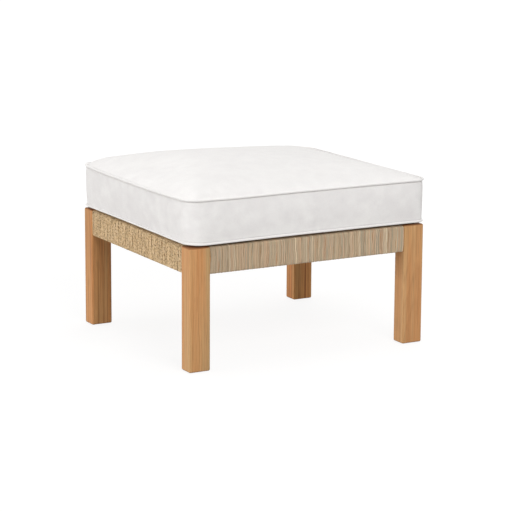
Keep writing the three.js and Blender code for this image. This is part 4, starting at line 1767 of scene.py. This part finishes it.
@dataclass
class Cushion(Assembly):
    """The box cushion: cover, fibre wrap, foam core and the two welts."""

    welt_radius: float = 3.2 * MM
    welt_gap: float = 0.3 * MM
    welt_press: float = 0.9 * MM
    beside_seam: float = 1.5 * MM
    low_radii: tuple[float, ...] = (28 * MM, 25 * MM, 45 * MM, 18 * MM)
    high_radii: tuple[float, ...] = (50 * MM, 38 * MM, 38 * MM, 30 * MM)
    low_drawn: tuple[float, ...] = (5 * MM, 2 * MM, 5 * MM, 0.0)
    high_drawn: tuple[float, ...] = (-4.5 * MM, -4 * MM, 7 * MM, 0.0)
    roll: float = 26 * MM
    bulge: float = 8.5 * MM
    bulge_power: float = 0.2
    dome: tuple[float, float, float] = (47.1 * MM, -5.0 * MM, 1.3 * MM)
    dome_power: float = 2.04
    puff: tuple[float, float, float] = (10.6 * MM, -8.9 * MM, -4.4 * MM)
    puff_power: float = 32.0
    crown_rounding: float = 0.49
    swell_room: float = 5 * MM
    room_power: float = 8.0
    smoothing: int = 14
    voxel: float = 6 * MM
    frames: int = 20
    cloth: tuple[tuple[str, float | str], ...] = (
        ("quality", 5),
        ("mass", 0.3),
        ("tension_stiffness", 18),
        ("compression_stiffness", 12),
        ("shear_stiffness", 6),
        ("bending_stiffness", 0.6),
        ("shrink_min", -0.012),
        ("use_pressure", True),
        ("uniform_pressure_force", 4.0),
        ("vertex_group_mass", "held"),
        ("pin_stiffness", 4),
    )
    seam_hold: tuple[float, float] = (4 * MM, 16 * MM)
    zip_hold: tuple[float, float] = (2 * MM, 20 * MM)
    floor_hold: tuple[float, float] = (0.5 * MM, 3 * MM)
    least_hold: float = 0.01
    roll_shares: tuple[float, ...] = (0.0, 0.35, 0.7)
    boxing_shares: tuple[float, ...] = (0, 0.02, 0.05, 0.1, 0.2, 0.35, 0.5, 0.65, 0.8, 0.9, 0.95, 0.98, 1)
    crown_edge_shares: tuple[float, float, int] = (0.995, 0.9, 9)
    crown_shares: tuple[float, float, int] = (0.87, 0.06, 17)
    most_swell: float = 5 * MM
    seam_steps: tuple[int, int] = (30, 220)
    seam_width: float = 4 * MM
    seam_depth: float = 1.5 * MM
    lip: float = 2.4 * MM
    lip_width: float = 6 * MM
    shade_width: float = 3.5 * MM
    right_sag: float = 5.8 * MM
    sag_lost: float = 0.9
    sag_width: float = 45 * MM
    bumps: tuple[tuple[float, float, float, float], ...] = (
        (-1.0, -1.0, 2.8 * MM, 110 * MM),
        (-1.0, 1.0, 2.6 * MM, 60 * MM),
        (-0.71, 0.93, -2.2 * MM, 80 * MM),
    )
    pucker: float = 0.12 * MM
    pucker_waves: Stops = ((26.0, 1.0), (11.0, 0.6))
    pucker_floor: float = 4 * MM
    pucker_from_seam: float = 11 * MM
    pucker_width: float = 9 * MM
    zip_proud: float = 2.0 * MM
    zip_channel: float = 1.3 * MM
    zip_press: tuple[float, float] = (0.5 * MM, 4 * MM)
    pull_press: tuple[float, float] = (1 * MM, 10 * MM)
    back_depth: float = 20 * MM
    pull_gap: float = 0.4 * MM
    wadding_inset: float = 8.5 * MM
    foam_edge: float = 2 * MM
    foam_room: float = 0.4 * MM
    welt_sides: int = 12
    welt_steps: tuple[int, int] = (16, 130)
    welt_waver: float = 0.25 * MM
    welt_unevenness: float = 0.03
    waver_steps: float = 9.0
    unevenness_shift: int = 17
    seed: int = 5

    def __post_init__(self) -> None:
        """Reads the cushion's place and size from the frame."""
        cover_low, cover_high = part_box("cushion_cover")
        lower_low, lower_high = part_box("welt_lower")
        upper_low, upper_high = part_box("welt_upper")
        inside = self.welt_radius * (1 + math.cos(math.pi / 6)) + self.welt_gap
        self.base = cover_low.z
        self.top = cover_high.z
        self.low_seam = (lower_low.z + lower_high.z) / 2 + self.beside_seam
        self.high_seam = (upper_low.z + upper_high.z) / 2 - self.beside_seam
        self.low_plan = Plan(lower_high.x - inside, lower_high.y - inside, self.low_radii, self.low_drawn)
        self.high_plan = Plan(upper_high.x - inside, upper_high.y - inside, self.high_radii, self.high_drawn)

    def build(self) -> None:
        """Makes and settles the cover, the welts and the filling."""
        fabric = Woven("cushion_fabric", tone(244, 242, 240), tone(233, 230, 229))
        piping = Woven("welt_fabric", tone(246, 244, 242), tone(240, 238, 236), thread=0.8 * MM, bias=True)
        cover = self.cover(fabric.material())
        self.settle(cover, "cushion_fabric", "cushion_cover")
        material = piping.material()
        self.welt("welt_lower", self.low_plan, self.low_seam - self.beside_seam, material)
        self.welt("welt_upper", self.high_plan, self.high_seam + self.beside_seam, material)
        self.filling()

    def form(self, inset: float, room: float = 0.0) -> tuple[np.ndarray, list[Sequence[int]]]:
        """Lofts the closed form: flat underneath, bulging at the boxing and crowned on top.

        Args:
            inset: How far inside the cover's face it lies.
            room: How much slimmer it is between the seams, where it swells later.

        Returns:
            Its corners and faces.
        """
        rings: list[np.ndarray] = []

        def ring(plan: Plan, height: float) -> None:
            """Adds one level ring."""
            flat = plan.grown(-inset).line()
            rings.append(np.column_stack([flat, np.full(len(flat), height)]))

        low, high = self.low_seam + inset, self.high_seam - inset
        floor = self.base + inset
        for share in self.roll_shares:
            lift = (1 - math.sqrt(1 - share * share)) * (low - floor)
            ring(self.low_plan.grown(-self.roll * (1 - share)), floor + lift)
        for share in self.boxing_shares:
            bulge = (self.bulge - room) * (4 * share * (1 - share)) ** self.bulge_power
            ring(self.low_plan.towards(self.high_plan, share).grown(bulge), low + (high - low) * share)
        edge = self.high_plan.grown(-inset)
        for share in np.concatenate([np.linspace(*self.crown_edge_shares), np.linspace(*self.crown_shares)]):
            flat = edge.shrunk(share, self.crown_rounding).line()
            rings.append(np.column_stack([flat, high + self.crown_at(flat, share, room)]))
        count = len(rings[0])
        peak = high + self.dome[0] + self.puff[0] - room
        points = np.concatenate(rings + [np.array([[0, 0, floor], [0, 0, peak]])])
        faces: list[Sequence[int]] = list(net(len(rings), count)[:, [0, 3, 2, 1]])
        under, over = len(points) - 2, len(points) - 1
        last = (len(rings) - 1) * count
        for i in range(count):
            j = (i + 1) % count
            faces.append((under, j, i))
            faces.append((over, last + i, last + j))
        return points, faces

    def crown_at(self, flat: np.ndarray, share: float, room: float) -> np.ndarray:
        """Returns how high the top rises over its seam: a dome, and a puff close to the welt.

        Args:
            flat: Points of one ring round the crown, each as (x, y).
            share: The ring's size as a share of the seam's.
            room: How much slimmer it is in the middle.

        Returns:
            The rise at each point.
        """
        x = flat[:, 0] / self.high_plan.half_x
        y = flat[:, 1] / self.high_plan.half_y
        dome, puff = (size[0] + size[1] * x + size[2] * y for size in (self.dome, self.puff))
        rise = dome * (1 - share ** self.dome_power) + puff * (1 - share ** self.puff_power)
        return rise - room * (1 - share ** self.room_power)

    def cover(self, material: Material) -> Piece:
        """Makes the cover: remeshed evenly, swollen by cloth simulation, then given its seams and a painted
        shadow beside them.

        Args:
            material: Its finish.

        Returns:
            The cover, not settled yet.
        """
        points, faces = self.form(0.0, self.swell_room)
        piece = new_piece("cushion_cover_sewn", points, faces, material)
        self.apply_modifier(piece, "REMESH", mode="VOXEL", voxel_size=self.voxel, use_smooth_shade=True)
        self.simulate(piece, corners_of(piece.data))
        self.apply_modifier(piece, "SUBSURF", levels=1, render_levels=1)
        points = corners_of(piece.data)
        points = self.sew(points, corners_of(piece.data, "normal"))
        # Painted shadow: strongest on the seams below the upper welt and round the lower one, fading within a
        # few millimetres.
        shade = np.exp(-((self.from_seams(points) / self.shade_width) ** 2)) * (points[:, 2] < self.high_seam)
        carry(piece.data, "seam", shade)
        points = self.settled(points)
        points[:, 2] = np.maximum(points[:, 2], self.base)
        move_corners(piece.data, points)
        piece.data.shade_smooth()
        return piece

    def settled(self, points: np.ndarray) -> np.ndarray:
        """Lets the upper edge sag along the right side, and gives the cover its uneven spots.

        Each spot has its place as shares of the plan's halves, its height and its width.

        Args:
            points: Corners of the cover or of a welt.

        Returns:
            The settled corners.
        """
        up = np.clip((points[:, 2] - self.low_seam) / (self.high_seam - self.low_seam), 0, 1)
        inward = np.maximum(0, self.high_plan.half_x - points[:, 0])
        along = points[:, 1] / self.high_plan.half_y
        between = (1 - np.clip(-along, 0, 1) ** 4) * (1 - self.sag_lost * (1 - along) / 2)
        sag = self.right_sag * between * np.exp(-((inward / self.sag_width) ** 2))
        lift = np.zeros(len(points))
        for x, y, height, width in self.bumps:
            middle = (x * self.high_plan.half_x, y * self.high_plan.half_y)
            away = np.hypot(*(points[:, :2] - middle).T)
            lift += height * np.exp(-((away / width) ** 2))
        return np.column_stack([points[:, :2], points[:, 2] + up * (lift - sag)])

    @staticmethod
    def apply_modifier(piece: Piece, kind: str, **settings: object) -> None:
        """Adds a modifier and makes its result the piece's own mesh.

        Args:
            piece: The piece.
            kind: Blender's name for the modifier.
            **settings: Its settings.
        """
        modifier = piece.modifiers.new(kind.lower(), kind)
        for name, value in settings.items():
            setattr(modifier, name, value)
        graph = bpy.context.evaluated_depsgraph_get()
        made = bpy.data.meshes.new_from_object(piece.evaluated_get(graph), depsgraph=graph)
        piece.modifiers.remove(modifier)
        old, piece.data = piece.data, made
        bpy.data.meshes.remove(old)

    def from_seams(self, points: np.ndarray) -> np.ndarray:
        """Measures how far points lie from the nearest seam.

        Args:
            points: The points.

        Returns:
            The distances.
        """
        seams = []
        for plan, height in ((self.low_plan, self.low_seam), (self.high_plan, self.high_seam)):
            flat = plan.finer(*self.seam_steps).line()
            seams.append(np.column_stack([flat, np.full(len(flat), height)]))
        line = np.concatenate(seams)
        tree = KDTree(len(line))
        for i, point in enumerate(line):
            tree.insert(point, i)
        tree.balance()
        return np.array([tree.find(point)[2] for point in points])

    def from_zip(self, points: np.ndarray, below: float = 0.0) -> np.ndarray:
        """Returns each point's distance from the zip's tape, far away for all but the back.

        Args:
            points: The points.
            below: How much further down than the tape the distance is measured from.

        Returns:
            The distances.
        """
        low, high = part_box("zip_chain")
        beside = np.maximum(0, np.maximum(low.x - points[:, 0], points[:, 0] - high.x))
        above = np.maximum(0, np.maximum(low.z - below - points[:, 2], points[:, 2] - high.z))
        behind = points[:, 1] > self.low_plan.half_y - self.back_depth
        return np.where(behind, np.hypot(beside, above), self.top)

    def simulate(self, piece: Piece, rest: np.ndarray) -> None:
        """Swells the cover with Blender's cloth, held along its seams and its zip.

        Args:
            piece: The remeshed cover, which gets the new shape.
            rest: Its corners before the simulation.
        """
        held = 1 - np.minimum.reduce([
            soft_step(*self.seam_hold, self.from_seams(rest)),
            soft_step(*self.zip_hold, self.from_zip(rest)),
            soft_step(*self.floor_hold, rest[:, 2] - self.base),
        ])
        group = piece.vertex_groups.new(name="held")
        for i in np.nonzero(held > self.least_hold)[0]:
            group.add([int(i)], float(held[i]), "REPLACE")
        cloth = piece.modifiers.new("cloth", "CLOTH")
        for name, value in self.cloth:
            setattr(cloth.settings, name, value)
        cloth.settings.effector_weights.gravity = 0
        cloth.collision_settings.use_collision = False
        cloth.collision_settings.use_self_collision = False
        cloth.point_cache.frame_start = 1
        cloth.point_cache.frame_end = self.frames
        scene = bpy.context.scene
        scene.frame_start, scene.frame_end = 1, self.frames
        for frame in range(1, self.frames + 1):
            scene.frame_set(frame)
        graph = bpy.context.evaluated_depsgraph_get()
        swollen = piece.evaluated_get(graph).to_mesh()
        moved = self.smoothed(piece.data, corners_of(swollen) - rest)
        piece.evaluated_get(graph).to_mesh_clear()
        piece.modifiers.remove(cloth)
        piece.vertex_groups.remove(group)
        scene.frame_set(1)
        far = np.linalg.norm(moved, axis=1)
        kept = self.most_swell * np.tanh(far / self.most_swell)
        moved *= (kept / np.maximum(far, 1e-9))[:, None]
        LOG.info("cover swells up to %.1f mm, and %.1f mm is kept", far.max() / MM, kept.max() / MM)
        move_corners(piece.data, rest + moved)

    def smoothed(self, mesh: Mesh, values: np.ndarray) -> np.ndarray:
        """Evens out what each corner carries with its neighbours, round after round.

        Args:
            mesh: The mesh.
            values: One row for each of its corners.

        Returns:
            The evened rows.
        """
        ends = np.zeros(len(mesh.edges) * 2, np.int32)
        mesh.edges.foreach_get("vertices", ends)
        first, second = ends.reshape(-1, 2).T
        count = np.bincount(ends, minlength=len(values))[:, None]
        for _ in range(self.smoothing):
            around = np.zeros_like(values)
            np.add.at(around, first, values[second])
            np.add.at(around, second, values[first])
            values = (values + around / count) / 2
        return values

    def sew(self, points: np.ndarray, normals: np.ndarray) -> np.ndarray:
        """Pulls the cover in under its upper welt, rolls it over each welt and puckers it beside them.

        Behind the zip's tape and its hanging pull it is pressed inwards.

        Args:
            points: The cover's corners.
            normals: Their outward directions.

        Returns:
            The new corners.
        """
        away = self.from_seams(points)
        middle = (self.low_seam + self.high_seam) / 2
        under = (points[:, 2] < self.high_seam) & (points[:, 2] > middle)
        over = ~under & (points[:, 2] > self.low_seam)
        groove = np.exp(-((away / self.seam_width) ** 2)) * under
        roll = np.exp(-((away / self.lip_width) ** 2)) * over
        around = np.arctan2(points[:, 1], points[:, 0])
        dice = np.random.default_rng(self.seed)
        places = (around + math.pi) * 1000
        ripple = sum(height * wander(dice, places, spacing) for spacing, height in self.pucker_waves)
        from_line = (away - self.pucker_from_seam) / self.pucker_width
        beside = np.exp(-(from_line ** 2)) * (points[:, 2] > self.base + self.pucker_floor)
        shift = self.lip * roll - self.seam_depth * groove + self.pucker * ripple * beside
        sewn = points + normals * shift[:, None]
        chain_low, chain_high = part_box("zip_chain")
        pull_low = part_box("zip_pull")[0]
        for below, face, reach in (
            (0.0, chain_high.y - self.zip_proud - self.zip_channel, self.zip_press),
            (chain_low.z - pull_low.z, pull_low.y - self.pull_gap, self.pull_press),
        ):
            pressed = 1 - soft_step(*reach, self.from_zip(points, below))
            sewn[:, 1] += (np.minimum(sewn[:, 1], face) - sewn[:, 1]) * pressed
        return sewn

    def welt(self, node: str, plan: Plan, height: float, material: Material) -> None:
        """Makes one welt: a covered cord just outside a seam.

        Args:
            node: The CAD node that it stands for.
            plan: The seam's plan.
            height: The welt's height.
            material: Its finish.
        """
        out = self.welt_radius + self.welt_gap - self.welt_press
        flat = plan.grown(out).finer(*self.welt_steps).line()
        count = len(flat)
        dice = np.random.default_rng(len(node))
        closing = np.sin(np.arange(count) / count * math.pi) ** 0.5
        wave = wander(dice, np.arange(count, dtype=float), self.waver_steps) * closing
        run = np.roll(flat, -1, axis=0) - np.roll(flat, 1, axis=0)
        run /= np.linalg.norm(run, axis=1)[:, None]
        outward = np.column_stack([run[:, 1], -run[:, 0]])
        centre = np.column_stack([flat, height + self.welt_waver * wave])
        angles = np.arange(self.welt_sides) * 2 * math.pi / self.welt_sides
        thick = self.welt_radius * (1 + self.welt_unevenness * np.roll(wave, self.unevenness_shift))[:, None]
        points = (
            centre[:, None, :]
            + np.column_stack([outward, np.zeros(count)])[:, None, :] * (thick * np.cos(angles))[:, :, None]
            + np.array([0, 0, 1.0]) * (thick * np.sin(angles))[:, :, None]
        ).reshape(-1, 3)
        faces = net(count, self.welt_sides, closed=True)
        piece = new_piece(f"{node}_covered", self.settled(points), faces, material)
        self.settle(piece, "welt_fabric", node)

    def filling(self) -> None:
        """Makes the foam core and the fibre wrap round it, which is open at both ends."""
        foam = self.kept("cushion_foam", "foam", self.foam_edge, Foam("foam_block").material())
        points, faces = self.form(self.wadding_inset)
        fibre = new_piece("cushion_fibre_wadding", points, faces, Fibre("fibre_wadding").material())
        low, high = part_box("cushion_foam")
        tunnel = bmesh.new()
        bmesh.ops.create_cube(tunnel, size=1.0)
        span = (1.0, high.y - low.y + 2 * self.foam_room, high.z - low.z + 2 * self.foam_room)
        bmesh.ops.scale(tunnel, vec=span, verts=tunnel.verts)
        bmesh.ops.translate(tunnel, vec=(0, 0, (low.z + high.z) / 2), verts=tunnel.verts)
        mesh = bpy.data.meshes.new("foam_space")
        tunnel.to_mesh(mesh)
        tunnel.free()
        space = placed("foam_space", mesh)
        self.apply_modifier(fibre, "BOOLEAN", operation="DIFFERENCE", object=space, solver="EXACT")
        bpy.data.objects.remove(space)
        self.settle(fibre, "fibre", "cushion_fibre_wrap")


@dataclass
class Zip(Assembly):
    """The zip in the back boxing: tape with teeth, slider and pull."""

    edge: float = 0.15 * MM

    def build(self) -> None:
        """Makes and settles the chain, the slider and the pull."""
        plastic = Moulded("zip_plastic", tone(226, 224, 220), tone(204, 202, 196), 0.45).material()
        metal = Metal("zip_metal", tone(176, 174, 170), tone(220, 218, 214), 0.3).material()
        for node, slot, material in (
            ("zip_chain", "zip_plastic", plastic),
            ("zip_slider", "zip_metal", metal),
            ("zip_pull", "zip_metal", metal),
        ):
            self.kept(node, slot, self.edge, material)


def main() -> None:
    """Builds every sub-assembly round the frame, in order."""
    logging.basicConfig(level=logging.INFO, format="%(name)s: %(message)s")
    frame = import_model()
    Studio().build()
    Legs(frame).build()
    Deck(frame).build()
    SmoothRail(frame, Side.FRONT, seed=11).build()
    SmoothRail(frame, Side.BACK, seed=12).build()
    TwistedRail(frame, Side.LEFT, seed=13).build()
    TwistedRail(frame, Side.RIGHT, seed=14).build()
    Cushion(frame).build()
    Zip(frame).build()


if __name__ == "__main__":
    main()
